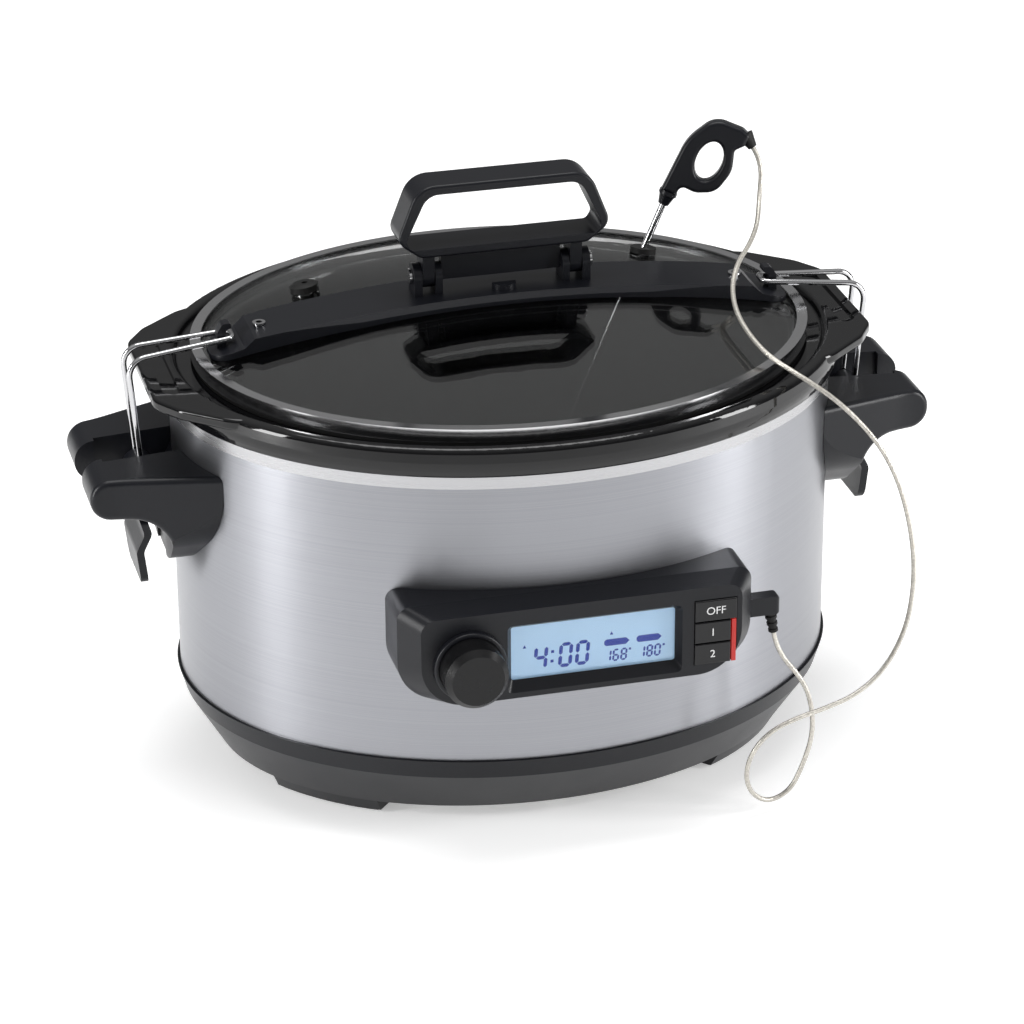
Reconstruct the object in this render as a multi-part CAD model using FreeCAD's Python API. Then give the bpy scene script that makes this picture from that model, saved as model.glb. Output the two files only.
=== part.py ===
"""Oval slow cooker with a latching glass lid and a temperature probe.

Millimetres. X runs along the side handles, the control panel faces -Y, +Z is up.
The oval's axis is the Z axis while the pieces are made, and z = 0 is the table.
Every piece is moved by the same distance along Y when it is written, so that the
origin lies at the middle of the object's box, on the table.
"""
import FreeCAD, Part
import math
import os

V = FreeCAD.Vector
X_AXIS = V(1, 0, 0)
Y_AXIS = V(0, 1, 0)
Z_AXIS = V(0, 0, 1)

# Clearances
fit_gap = 0.3
slip_gap = 0.15
bore_gap = 0.2
through = 300.0

# Stoneware crock
crock_ratio = 0.826
crock_outer_top_a = 150.5
crock_outer_bottom_a = 127.0
crock_depth = 136.3
crock_wall = 7.0
crock_floor = 8.0
crock_corner_r = 20.0
crock_moat = 12.5
crock_bead_width = 6.5
crock_bead_rise = 4.0
crock_rim_flare = 1.5
crock_rim_foot = 2.0
crock_rim_bulge = 5.5
crock_ledge_rise = 10.7
grip_overhang = 9.5
grip_half_width = 47.0
grip_root_half_width = 80.0
grip_corner = 10.0
grip_thickness = 6.0
grip_edge_r = 2.0
grip_recess = 1.4
grip_edge = 6.0

# Heating well
well_clearance = 3.5
well_floor_gap = 1.0
well_rise = 13.5
well_flange = 1.0
well_lip_height = 7.0
well_lip_thickness = 0.9
well_wall = 1.0
band_thickness = 1.6
band_rise = 14.0
band_height = 48.0
sensor_r = 9.0
sensor_height = 14.0
sensor_flange_r = 14.0
sensor_flange = 2.0
fuse_r = 3.0
fuse_length = 22.0
fuse_rise = 44.0
fuse_gap = 0.6

# Steel body wrap
body_margin_a = 10.5
body_margin_b = 6.187
steel_thickness = 0.8
wrap_window_width = 70.0
wrap_window_height = 22.0

# Base ring and feet
foot_height = 9.0
pad_height = 2.0
pad_inset = 3.0
foot_length = 58.0
foot_depth = 24.0
foot_inset_x = 44.5
foot_inset_y = 47.0
foot_turn = 42.0
base_step = 1.5
base_waist_in_a = 1.5
base_waist_in_b = 2.0
base_taper_a = 15.5
base_taper_b = 21.0
base_skirt_height = 27.0
base_band_height = 10.5
base_wall = 3.2
base_lip_height = 3.0
base_lip_width = 20.0
bottom_plate_thickness = 1.2
bottom_plate_gap = 1.0
base_screw_r = 1.5
base_screw_head_r = 3.5
base_screw_head = 1.8
base_screw_length = 8.0
gland_r = 7.0
gland_hole_r = 3.4
gland_rise = 19.0
gland_flange_r = 9.5
gland_flange = 3.0
gland_proud = 3.0
gland_tail = 9.0
gland_cut = 30.0

# Power board in the base
power_board_x = 96.0
power_board_y = 56.0
board_thickness = 1.6
spacer_r = 3.5
spacer_height = 6.0
spacer_inset = 6.0
relay_start_x = -40.0
relay_x = 20.0
relay_y = 16.0
relay_z = 15.0
choke_x = 30.0
choke_y = 8.0
choke_r = 9.0
choke_z = 14.0

# Glass lid
lid_gap_a = 9.2
lid_gap_b = 5.6
rim_wall = 0.8
rim_rise = 2.6
rim_height = 6.6
rim_lip_width = 5.2
glass_thickness = 4.0
glass_edge_rise = 3.8
glass_sag = 19.6
gasket_width = 6.0
vent_x = -88.5
vent_y = 46.0
vent_r = 7.2
vent_bevel = 2.2
vent_hole_r = 1.6
vent_tail = 6.5
grommet_neck_r = 5.0
grommet_rise = 3.2
grommet_r = 6.6
grommet_tail = 12.0

# Bridge strap over the lid
strap_half_width = 19.0
strap_end_half_width = 14.0
strap_end_gap = 2.1
strap_crown_rise = 4.5
strap_rivet_inset = 25.5
strap_rivet_rise = 7.23
strap_bend_run = 5.0
strap_bend_drop = 0.8
strap_step_inset = 15.5
strap_step_rise = 3.8
strap_end_rise = 1.4
strap_bevel = 2.6
strap_end_r = 11.0
rivet_r = 3.2
rivet_hole_r = 1.5
rivet_wall = 1.0
rivet_seat = 0.75
rivet_rise = 0.8
rivet_tail = 1.4
rivet_foot_r = 4.4
post_half_width = 3.0
hook_inset = 4.0
hook_root = 0.4
hook_outline = [(0.0, 0.0), (-0.3, 9.0), (-3.0, 13.2), (-7.1, 13.4), (-7.3, 11.0), (-4.3, 9.6), (-4.5, 0.0)]

# Lid handle
hinge_rise = 7.5
hinge_pin_r = 2.2
hinge_head_r = 4.0
hinge_head = 1.4
lug_r = 6.5
lug_outer_x = 44.5
lug_thickness = 4.0
lug_root = 3.0
ear_thickness = 6.0
ear_round = 0.5
inner_lug_thickness = 3.5
loop_depth = 21.0
loop_rise = 12.5
loop_shoulder = 9.0
loop_height = 37.0
loop_bottom_half = 42.0
loop_wide_half = 54.0
loop_top_half = 43.0
loop_wall = 4.6
loop_edge_r = 1.4
web_thickness = 4.0
web_drop = 2.5
web_lap = 2.0
stop_r = 6.0
stop_height = 3.0
stop_gap = 1.0

# Side handles
handle_reach = 47.5
handle_drop = 24.5
handle_slope = 3.9
handle_root_depth = 25.5
handle_thickness = 20.5
handle_nose_r = 10.0
handle_edge_r = 3.0
handle_nose_half = 38.0
handle_nose_run = 10.0
handle_side_r = 60.0
handle_root_half = 58.2
handle_flare_r = 18.0
tongue_thickness = 10.5
tongue_lean = 2.5
tongue_drop = 35.0
tongue_half = 20.0
tongue_r = 40.0
shield_half = 55.0
shield_drop = 4.0
shield_r = 45.0
pocket_half = 14.5
pocket_in = 0.5
pocket_slope = 4.0
pocket_out = 37.5
pocket_floor = 4.5
notch_half = 11.2
notch_in = 7.0
handle_screw_r = 2.0
handle_screw_head_r = 4.0
handle_screw_head = 1.8
handle_screw_seat = 1.0
handle_screw_length = 10.5
handle_screw_drop = 38.5
handle_screw_y = 17.0

# Lid latch
latch_out = 17.5
latch_drop = 11.0
latch_pin_r = 2.0
latch_pin_bite = 7.0
hub_r = 7.2
hub_half = 6.4
lever_stem_half = 6.0
lever_stem_thickness = 5.0
lever_stem_lap = 6.0
paddle_half = 18.5
paddle_thickness = 3.8
paddle_line = [(0.5, 19.5), (-2.0, 28.5), (2.5, 37.5), (0.5, 56.0)]
paddle_bend_r = 5.0
paddle_tip_r = 1.2
paddle_root_r = 4.0
paddle_corner_r = 7.0
wire_r = 1.5
wire_leg_half = 8.5
wire_hook_half = 5.0
wire_corner_out = 4.5
wire_corner_drop = 5.1
wire_hook_in = 7.7
wire_hook_rise = 6.6
wire_corner_r = 9.0
wire_hook_r = 3.6

# Control panel
panel_half = 87.0
panel_rise = 41.5
panel_height = 50.5
panel_reach = 17.0
panel_shoulder = 13.0
panel_bevel = 8.5
panel_edge = 2.2
panel_low_r = 22.0
panel_high_r = 7.0
panel_wall = 2.6
panel_end_wall = 13.0
panel_low_wall = 5.0
panel_high_wall = 4.8
panel_screw_r = 1.6
panel_screw_length = 9.0
panel_screw_head_r = 3.0
panel_screw_head = 1.6
panel_screw_seat = 2.4
panel_screw_x = 70.0
panel_boss_r = 4.2
panel_boss_in = 4.0
panel_rib = 2.4
display_x0 = -34.2
display_x1 = 46.3
display_rise = 10.0
display_height = 27.8
display_frame = 2.6
display_ledge = 5.0
display_recess = 4.0
display_corner_r = 2.5
window_corner_r = 1.2
window_thickness = 1.4
window_lap = 2.0
lcd_thickness = 3.2
lcd_lap = 3.0
control_board_half = 68.0
control_board_low = 8.0
control_board_high = 7.0
control_board_notch = 6.0

# Rotary knob
knob_x = -55.3
knob_rise = 23.0
knob_r = 15.3
knob_face_r = 12.6
knob_height = 17.5
knob_taper = 3.0
knob_ring_r = 17.6
knob_ring_height = 3.2
knob_ring_edge = 1.2
shaft_r = 3.0
shaft_length = 12.0
encoder_half = 7.0
encoder_depth = 5.0

# Push buttons
button_x0 = 55.0
button_x1 = 75.7
button_rise_z = 7.7
button_height = 10.9
button_pitch = 11.4
button_rise = 0.9
button_depth = 4.4
button_edge_r = 0.6
button_travel = 0.8
light_width = 2.3
light_proud = 0.4
light_depth = 4.0
switch_half = 3.0
switch_drop = 1.0
switch_gap = 0.1
plunger_r = 1.2

# Probe socket and plug
socket_in = 22.0
socket_rise = 25.5
jack_r = 1.75
socket_half = 5.0
socket_depth = 9.8
socket_neck_r = 3.2
socket_ring_r = 4.2
socket_ring = 1.2
socket_room = 8.0
plug_half = 3.6
plug_length = 15.5
plug_drop = 6.0
plug_edge_r = 2.2
plug_boot_r = 2.6
plug_boot_end_r = 1.9
plug_boot_length = 11.0
plug_boot_lean = 10.0
plug_boot_inset = 4.0
plug_boot_lap = 2.0
plug_rib_count = 3
plug_rib_half = 0.7
plug_rib_rise = 0.45
jack_length = 12.0
jack_taper = 2.5
jack_tip_r = 0.65

# Temperature probe
probe_x = 88.8
probe_y = 52.0
probe_seat = 1.3
probe_lean = 23.5
probe_face_turn = 20.0
probe_rod_r = 1.7
probe_below = 118.0
probe_above = 26.5
probe_tip = 8.0
probe_tip_r = 0.3
probe_rod_grip = 4.0
cap_length = 5.0
cap_low_r = 2.7
cap_high_r = 4.1
collar_r = 4.7
collar_gap = 0.4
collar_length = 1.6
stem_r = 3.4
neck_half = 4.1
ring_thickness = 9.0
ring_edge_r = 2.0
ring_centre_up = 30.0
ring_centre_out = 12.5
ring_hole_up = 10.4
ring_hole_out = 6.6
ring_outline = [(36.0, -2.4), (51.5, 6.5), (51.8, 22.0), (50.0, 26.5), (44.2, 26.0), (40.0, 22.2),
                (29.5, 25.4), (16.5, 22.0), (12.2, 12.5)]
ring_outline_r = [26.0, 11.0, 5.0, 1.5, 1.5, 2.5, 14.0, 10.0, 9.0]
ring_neck_up = 12.6
ring_neck_r = 3.0
boot_start_up = 49.0
boot_start_out = 24.0
boot_end_out = 30.0
boot_r = 4.2
boot_end_r = 2.3
boot_drop = 4.2

# Probe cord
cord_r = 1.2
cord_bend_share = 0.45
cord_first_run = 9.0
cord_last_run = 11.0
cord_end_gap = 0.4

# Heights, from the table up
base_waist_z = foot_height + base_skirt_height
base_top_z = base_waist_z + base_band_height
well_bottom_z = base_top_z + well_rise
crock_bottom_z = well_bottom_z + well_wall + well_floor_gap
crock_flange_bottom_z = crock_bottom_z + crock_depth
steel_top_z = crock_flange_bottom_z - fit_gap - well_flange
crock_ledge_z = crock_flange_bottom_z + crock_ledge_rise
crock_bead_z = crock_ledge_z + crock_bead_rise
rim_bottom_z = crock_ledge_z + rim_rise
rim_top_z = rim_bottom_z + rim_height
glass_edge_z = rim_bottom_z + glass_edge_rise
glass_crown_z = glass_edge_z + glass_sag
strap_crown_z = glass_crown_z + strap_crown_rise
hinge_z = strap_crown_z + hinge_rise
loop_bottom_z = hinge_z + loop_rise
loop_shoulder_z = loop_bottom_z + loop_shoulder
loop_top_z = loop_bottom_z + loop_height
handle_top_z = steel_top_z - handle_drop
latch_z = handle_top_z - latch_drop
panel_low_z = base_top_z + panel_rise
panel_high_z = panel_low_z + panel_height

# Half lengths, from the crock out
well_bottom_a = crock_outer_bottom_a + well_clearance + well_wall
well_bottom_b = crock_outer_bottom_a * crock_ratio + well_clearance + well_wall
well_top_a = crock_outer_top_a + well_clearance + well_wall
well_top_b = crock_outer_top_a * crock_ratio + well_clearance + well_wall
body_a = well_top_a + body_margin_a
body_b = well_top_b + body_margin_b
base_top_a = body_a + base_step
base_top_b = body_b + base_step
base_waist_a = body_a - base_waist_in_a
base_waist_b = body_b - base_waist_in_b
base_bottom_a = base_waist_a - base_taper_a
base_bottom_b = base_waist_b - base_taper_b
crock_bead_in_a = crock_outer_top_a + crock_moat
crock_bead_out_a = crock_bead_in_a + crock_bead_width
crock_rim_a = crock_bead_out_a + crock_rim_flare
grip_reach = crock_rim_a + grip_overhang
rim_a = crock_bead_in_a - lid_gap_a
rim_b = crock_bead_in_a * crock_ratio - lid_gap_b
strap_half_length = rim_a - rim_lip_width - strap_end_gap
strap_rivet_x = strap_half_length - strap_rivet_inset
strap_step_x = strap_half_length - strap_step_inset
handle_nose_x = body_a + handle_reach
latch_x = body_a + latch_out
panel_face_y = -body_b - panel_reach
panel_shoulder_y = panel_face_y + panel_shoulder
knob_face_y = panel_face_y - knob_height

# Movement of the whole object along Y, from the knob's face to the crock's rim
y_shift = -(knob_face_y + crock_rim_a * crock_ratio) / 2.0


def ellipse_wire(a, b, z):
    return Part.Wire([Part.Ellipse(V(0, 0, z), a, b).toShape()])


def oval_solid(levels):
    return Part.makeLoft([ellipse_wire(a, b, z) for a, b, z in levels], True, True)


def oval_plate(a, b, low, high):
    return Part.Face(ellipse_wire(a, b, low)).extrude(V(0, 0, high - low))


def oval_ring(a, b, width, low, high):
    ring = Part.Face(ellipse_wire(a, b, low)).cut(Part.Face(ellipse_wire(a - width, b - width, low)))
    return ring.Faces[0].extrude(V(0, 0, high - low))


def box(x0, x1, y0, y1, z0, z1):
    return Part.makeBox(x1 - x0, y1 - y0, z1 - z0, V(x0, y0, z0))


def rod(start, end, r):
    along = end - start
    return Part.makeCylinder(r, along.Length, start, along)


def cone(start, end, r0, r1):
    along = end - start
    return Part.makeCone(r0, r1, along.Length, start, along)


def rounded_edges(points, radii, closed):
    """Straight runs through the points, with a tangent arc of the given radius at each turn."""
    count = len(points)
    turns = range(count) if closed else range(1, count - 1)
    starts = list(points)
    ends = list(points)
    arcs = {}
    for i in turns:
        if radii[i] <= 0:
            continue
        corner = points[i]
        back = (points[i - 1] - corner).normalize()
        on = (points[(i + 1) % count] - corner).normalize()
        half_turn = (math.pi - back.getAngle(on)) / 2.0
        reach = radii[i] * math.tan(half_turn)
        middle = (back + on).normalize() * (radii[i] / math.cos(half_turn) - radii[i])
        starts[i] = corner + back * reach
        ends[i] = corner + on * reach
        arcs[i] = Part.Arc(starts[i], corner + middle, ends[i]).toShape()
    edges = []
    for i in range(count if closed else count - 1):
        following = (i + 1) % count
        if i in arcs:
            edges.append(arcs[i])
        if (starts[following] - ends[i]).Length > 1e-6:
            edges.append(Part.LineSegment(ends[i], starts[following]).toShape())
    return edges


def rounded_face(points, radii):
    return Part.Face(Part.Wire(rounded_edges(points, radii, True)))


def prism_y(pairs, radii, y0, y1):
    return rounded_face([V(x, y0, z) for x, z in pairs], radii).extrude(V(0, y1 - y0, 0))


def prism_x(pairs, radii, x0, x1):
    return rounded_face([V(x0, y, z) for y, z in pairs], radii).extrude(V(x1 - x0, 0, 0))


def prism_z(pairs, radii, z0, z1):
    return rounded_face([V(x, y, z0) for x, y in pairs], radii).extrude(V(0, 0, z1 - z0))


def oval_revolve(edges, ratio):
    """Turn a profile in the XZ plane round Z, then narrow it along Y."""
    turned = Part.Face(Part.Wire(edges)).revolve(V(0, 0, 0), Z_AXIS, 360)
    narrow = FreeCAD.Matrix()
    narrow.scale(1, ratio, 1)
    return turned.transformGeometry(narrow)


def tube(edges, r):
    path = Part.Wire(edges)
    start = edges[0].Vertexes[0].Point
    along = edges[0].tangentAt(edges[0].FirstParameter)
    section = Part.Wire([Part.Circle(start, along, r).toShape()])
    return path.makePipeShell([section], True, False)


def mirror_x(shape):
    return shape.mirror(V(0, 0, 0), X_AXIS)


def join(shapes):
    return shapes[0].multiFuse(shapes[1:]).removeSplitter()


def group(shapes):
    return Part.makeCompound(shapes)


def on_both_sides(shape):
    return [shape, mirror_x(shape)]


nodes = {}


def put(name, shape):
    nodes[name] = shape


def between(z, low, high):
    """The half lengths of an oval part way between two (a, b, z) levels."""
    share = (z - low[2]) / (high[2] - low[2])
    return (low[0] + (high[0] - low[0]) * share, low[1] + (high[1] - low[1]) * share, z)


def grown(level, by):
    return (level[0] + by, level[1] + by, level[2])


# Base ring: a moulded skirt that tapers in below a waist line, with a lip under it and four feet
base_low = (base_bottom_a, base_bottom_b, foot_height)
base_waist = (base_waist_a, base_waist_b, base_waist_z)
base_top = (base_top_a, base_top_b, base_top_z)
base_outer = oval_solid([base_low, base_waist, base_top])
lip_top_z = foot_height + base_lip_height
inside_low = grown(between(lip_top_z, base_low, base_waist), -base_wall)
base_inner = oval_solid([inside_low, grown(base_waist, -base_wall), grown(base_top, -base_wall)])
lip_hole = oval_plate(base_bottom_a - base_lip_width, base_bottom_b - base_lip_width, 0, base_top_z)
foot_x = base_bottom_a - foot_inset_x
foot_y = base_bottom_b - foot_inset_y
foot_taper = (base_waist_a - base_bottom_a) / (base_waist_z - foot_height)
foot_low = grown((base_bottom_a, base_bottom_b, pad_height), -foot_taper * (foot_height - pad_height))
foot_skirt = oval_solid([foot_low, base_low])


def foot_block(sx, sy, inset, low, high):
    block = box(-foot_length / 2 + inset, foot_length / 2 - inset, -foot_depth / 2 + inset,
                foot_depth / 2 - inset, low, high)
    block.rotate(V(0, 0, 0), Z_AXIS, -sx * sy * foot_turn)
    block.translate(V(sx * foot_x, sy * foot_y, 0))
    return block


corners = [(-1, -1), (1, -1), (1, 1), (-1, 1)]
feet = [foot_block(sx, sy, 0, pad_height, foot_height).common(foot_skirt) for sx, sy in corners]
screw_spots = [V(base_bottom_a - base_lip_width / 2, 0, 0), V(-base_bottom_a + base_lip_width / 2, 0, 0),
               V(0, base_bottom_b - base_lip_width / 2, 0), V(0, -base_bottom_b + base_lip_width / 2, 0)]
base_ring = join([base_outer.cut(base_inner).cut(lip_hole)] + feet)
for spot in screw_spots:
    base_ring = base_ring.cut(rod(spot, spot + V(0, 0, base_top_z), base_screw_r + bore_gap))
gland_z = foot_height + gland_rise
gland_y = between(gland_z, base_low, base_waist)[1]
gland_axis = V(0, gland_y, gland_z)
gland_bore = rod(gland_axis - Y_AXIS * gland_cut, gland_axis + Y_AXIS * gland_cut, gland_r + bore_gap)
base_ring = base_ring.cut(gland_bore)
put("base_ring", base_ring)

pad_edge = oval_plate(foot_low[0] - pad_inset, foot_low[1] - pad_inset, 0, pad_height)
pads = [foot_block(sx, sy, pad_inset, 0, pad_height).common(pad_edge) for sx, sy in corners]
put("rubber_feet", group(pads))

plate_a = inside_low[0] - bottom_plate_gap
plate_b = inside_low[1] - bottom_plate_gap
plate_top_z = lip_top_z + bottom_plate_thickness
bottom_plate = oval_plate(plate_a, plate_b, lip_top_z, plate_top_z)
for spot in screw_spots:
    bottom_plate = bottom_plate.cut(rod(spot, spot + V(0, 0, base_top_z), base_screw_r + bore_gap))
put("bottom_plate", bottom_plate)


def screw(head_at, into, shank_r, length, head_r, head):
    into = V(into).normalize()
    return rod(head_at, head_at - into * head, head_r).fuse(rod(head_at, head_at + into * length, shank_r))


put("base_screws", group([screw(spot + V(0, 0, foot_height), Z_AXIS, base_screw_r, base_screw_length,
                                base_screw_head_r, base_screw_head) for spot in screw_spots]))

# Gland for the mains lead in the back of the base
gland_end = gland_axis + Y_AXIS * (gland_proud + gland_flange)
gland = rod(gland_axis - Y_AXIS * gland_tail, gland_end, gland_r)
gland = gland.fuse(rod(gland_axis + Y_AXIS * gland_proud, gland_end, gland_flange_r))
gland = gland.cut(rod(gland_axis - Y_AXIS * gland_cut, gland_axis + Y_AXIS * gland_cut, gland_hole_r))
put("cord_gland", gland.cut(base_outer.cut(gland_bore)))

# Steel wrap round the body
wrap = oval_ring(body_a, body_b, steel_thickness, base_top_z, steel_top_z)
panel_mid_z = (panel_low_z + panel_high_z) / 2
handle_screw_z = handle_top_z - handle_screw_drop
wrap = wrap.cut(box(-wrap_window_width / 2, wrap_window_width / 2, panel_face_y, 0,
                    panel_mid_z - wrap_window_height / 2, panel_mid_z + wrap_window_height / 2))
screw_holes = []
for sx in (-1, 1):
    for sy in (-1, 1):
        screw_holes.append(rod(V(0, sy * handle_screw_y, handle_screw_z),
                               V(sx * handle_nose_x, sy * handle_screw_y, handle_screw_z),
                               handle_screw_r + bore_gap))
for hole in screw_holes:
    wrap = wrap.cut(hole)
panel_screw_holes = [rod(V(sx * panel_screw_x, 0, panel_mid_z), V(sx * panel_screw_x, -body_b, panel_mid_z),
                         panel_screw_r + bore_gap) for sx in (-1, 1)]
for hole in panel_screw_holes:
    wrap = wrap.cut(hole)
put("steel_wrap", wrap)

# Heating well: a drawn tub whose flange folds down over the top of the wrap
well_low = (well_bottom_a, well_bottom_b, well_bottom_z)
well_high = (well_top_a, well_top_b, steel_top_z)
flange_top_z = steel_top_z + well_flange
lip_a = body_a + slip_gap + well_lip_thickness
lip_b = body_b + slip_gap + well_lip_thickness
tub = oval_solid([well_low, well_high])
flange = oval_plate(lip_a, lip_b, steel_top_z, flange_top_z)
lip = oval_ring(lip_a, lip_b, well_lip_thickness, flange_top_z - well_lip_height, flange_top_z)
well_floor_z = well_bottom_z + well_wall
hollow_low = grown(between(well_floor_z, well_low, well_high), -well_wall)
hollow_high = grown(between(flange_top_z, well_low, well_high), -well_wall)
put("heating_well", join([tub, flange, lip]).cut(oval_solid([hollow_low, hollow_high])))

band_low_z = well_bottom_z + band_rise
band_ends = (band_low_z, band_low_z + band_height)
band_in = [grown(between(z, well_low, well_high), slip_gap) for z in band_ends]
band_out = [grown(level, band_thickness) for level in band_in]
put("heater_band", oval_solid(band_out).cut(oval_solid(band_in)))

sensor_top = V(0, 0, well_bottom_z - slip_gap)
pot_sensor = rod(sensor_top - Z_AXIS * sensor_height, sensor_top, sensor_r)
put("pot_sensor", pot_sensor.fuse(rod(sensor_top - Z_AXIS * (2 * sensor_flange), sensor_top - Z_AXIS * sensor_flange,
                                      sensor_flange_r)))
fuse_z = well_bottom_z + fuse_rise
fuse_level = grown(between(fuse_z, well_low, well_high), slip_gap + band_thickness + slip_gap)
fuse_y = fuse_level[1] + fuse_r + fuse_gap
put("thermal_fuse", rod(V(-fuse_length / 2, fuse_y, fuse_z), V(fuse_length / 2, fuse_y, fuse_z), fuse_r))

# Power board on spacers over the bottom plate
board_low_z = plate_top_z + spacer_height
spacer_x = power_board_x / 2 - spacer_inset
spacer_y = power_board_y / 2 - spacer_inset
spacer_spots = [V(sx * spacer_x, sy * spacer_y, plate_top_z) for sx, sy in corners]
put("board_spacers", group([rod(spot, spot + Z_AXIS * spacer_height, spacer_r) for spot in spacer_spots]))
board_top_z = board_low_z + board_thickness
power_board = join([
    box(-power_board_x / 2, power_board_x / 2, -power_board_y / 2, power_board_y / 2, board_low_z, board_top_z),
    box(relay_start_x, relay_start_x + relay_x, -relay_y / 2, relay_y / 2, board_top_z, board_top_z + relay_z),
    rod(V(choke_x, choke_y, board_top_z), V(choke_x, choke_y, board_top_z + choke_z), choke_r)])
put("power_board", power_board)

# Side handles: moulded, with a round nose, rounded rims, a flared tongue against the wrap, and a latch pocket
handle_low_z = handle_top_z - handle_thickness
handle_root_x = body_a - handle_root_depth
tongue_bottom_z = handle_low_z - tongue_drop
tongue_x = body_a + tongue_thickness
handle_profile = [(handle_root_x, handle_top_z + handle_slope), (handle_nose_x, handle_top_z),
                  (handle_nose_x, handle_low_z), (tongue_x, handle_low_z),
                  (tongue_x - tongue_lean, tongue_bottom_z), (handle_root_x, tongue_bottom_z)]
handle_block = prism_y(handle_profile, [0, handle_nose_r, handle_nose_r, handle_flare_r, 0, 0],
                       -2 * handle_root_half, 2 * handle_root_half)
nose_start_x = handle_nose_x - handle_nose_run
plan = prism_z([(handle_root_x, -handle_root_half), (nose_start_x, -handle_nose_half),
                (2 * handle_nose_x, -handle_nose_half), (2 * handle_nose_x, handle_nose_half),
                (nose_start_x, handle_nose_half), (handle_root_x, handle_root_half)],
               [0, handle_side_r, 0, 0, handle_side_r, 0], 0, through)
handle = handle_block.common(plan)
side_rims = [edge for edge in handle.Edges if abs(edge.CenterOfMass.y) > handle_nose_half - slip_gap
             and edge.CenterOfMass.x > handle_root_x + slip_gap and edge.CenterOfMass.z > tongue_bottom_z + slip_gap
             and (edge.BoundBox.XLength > slip_gap or edge.BoundBox.ZLength < handle_thickness / 2)]
handle = handle.makeFillet(handle_edge_r, side_rims)
shield_z = handle_low_z - shield_drop
shield = prism_x([(-shield_half, through), (-shield_half, shield_z), (-tongue_half, tongue_bottom_z),
                  (tongue_half, tongue_bottom_z), (shield_half, shield_z), (shield_half, through)],
                 [0, shield_r, tongue_r, tongue_r, shield_r, 0], 0, 2 * handle_nose_x)
handle = handle.common(shield)
handle = handle.cut(oval_plate(body_a + slip_gap, body_b + slip_gap, 0, through))
pocket_floor_z = handle_low_z + pocket_floor
pocket_in_x = body_a + pocket_in
pocket_out_x = body_a + pocket_out
handle = handle.cut(prism_y([(pocket_in_x - 2 * pocket_slope, through), (pocket_in_x - pocket_slope, handle_top_z),
                             (pocket_in_x + pocket_slope, pocket_floor_z), (pocket_out_x, pocket_floor_z),
                             (pocket_out_x, through)],
                            [0, 0, 0, 0, 0], -pocket_half, pocket_half))
handle = handle.cut(box(body_a + notch_in, 2 * handle_nose_x, -notch_half, notch_half, 0, through))
latch_axis = V(latch_x, 0, latch_z)
pin_half = pocket_half + latch_pin_bite
handle = handle.cut(rod(latch_axis - Y_AXIS * (pin_half + slip_gap), latch_axis + Y_AXIS * (pin_half + slip_gap),
                        latch_pin_r + slip_gap / 2))
inside_y = body_b - steel_thickness
screw_heads_x = (body_a - steel_thickness) * math.sqrt(1 - (handle_screw_y / inside_y) ** 2)
screw_heads_x = screw_heads_x - handle_screw_seat
screw_end_x = screw_heads_x + handle_screw_length + fit_gap
for sy in (-1, 1):
    handle = handle.cut(rod(V(0, sy * handle_screw_y, handle_screw_z), V(screw_end_x, sy * handle_screw_y, handle_screw_z),
                            handle_screw_r + bore_gap))
put("handle_right", handle)
put("handle_left", mirror_x(handle))
handle_screws = [screw(V(screw_heads_x, sy * handle_screw_y, handle_screw_z), X_AXIS, handle_screw_r,
                       handle_screw_length, handle_screw_head_r, handle_screw_head) for sy in (-1, 1)]
put("handle_screws", group(handle_screws + [mirror_x(s) for s in handle_screws]))

# Lid latches: a paddle lever and a spring wire on one steel pin in each handle pocket
pin = rod(latch_axis - Y_AXIS * pin_half, latch_axis + Y_AXIS * pin_half, latch_pin_r)
put("latch_pin_right", pin)
put("latch_pin_left", mirror_x(pin))
hub = rod(latch_axis - Y_AXIS * hub_half, latch_axis + Y_AXIS * hub_half, hub_r)
paddle_top_z = latch_z - paddle_line[0][1]
paddle_bottom_z = latch_z - paddle_line[-1][1]
stem = box(latch_x - lever_stem_thickness / 2, latch_x + lever_stem_thickness / 2, -lever_stem_half,
           lever_stem_half, paddle_top_z - lever_stem_lap, latch_z)
paddle_face = [(latch_x + out, latch_z - drop) for out, drop in paddle_line]
paddle_back = [(x + paddle_thickness, z) for x, z in reversed(paddle_face)]
paddle = prism_y(paddle_face + paddle_back,
                 [0, paddle_bend_r, paddle_bend_r, paddle_tip_r, paddle_tip_r, paddle_bend_r, paddle_bend_r, 0],
                 -paddle_half, paddle_half)
paddle = paddle.common(prism_x([(-paddle_half, paddle_top_z), (-paddle_half, paddle_bottom_z),
                                (paddle_half, paddle_bottom_z), (paddle_half, paddle_top_z)],
                               [paddle_root_r, paddle_corner_r, paddle_corner_r, paddle_root_r], 0, 2 * latch_x))
lever = join([hub, stem, paddle])
lever = lever.cut(rod(latch_axis - Y_AXIS * pin_half, latch_axis + Y_AXIS * pin_half, latch_pin_r + slip_gap))
put("latch_lever_right", lever)
put("latch_lever_left", mirror_x(lever))

strap_end_z = rim_top_z + strap_end_rise
hook_x = strap_half_length - hook_inset
hook_z = strap_end_z + hook_root
wire_hook_x = hook_x - wire_hook_in
wire_hook_z = hook_z + wire_hook_rise
wire_corner_x = latch_x + wire_corner_out
wire_corner_z = wire_hook_z - wire_corner_drop
eye_r = latch_pin_r + slip_gap + wire_r


def wire_leg_points(side):
    return [V(latch_x, side * wire_leg_half, latch_z + eye_r),
            V(wire_corner_x, side * wire_leg_half, wire_corner_z)]


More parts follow.
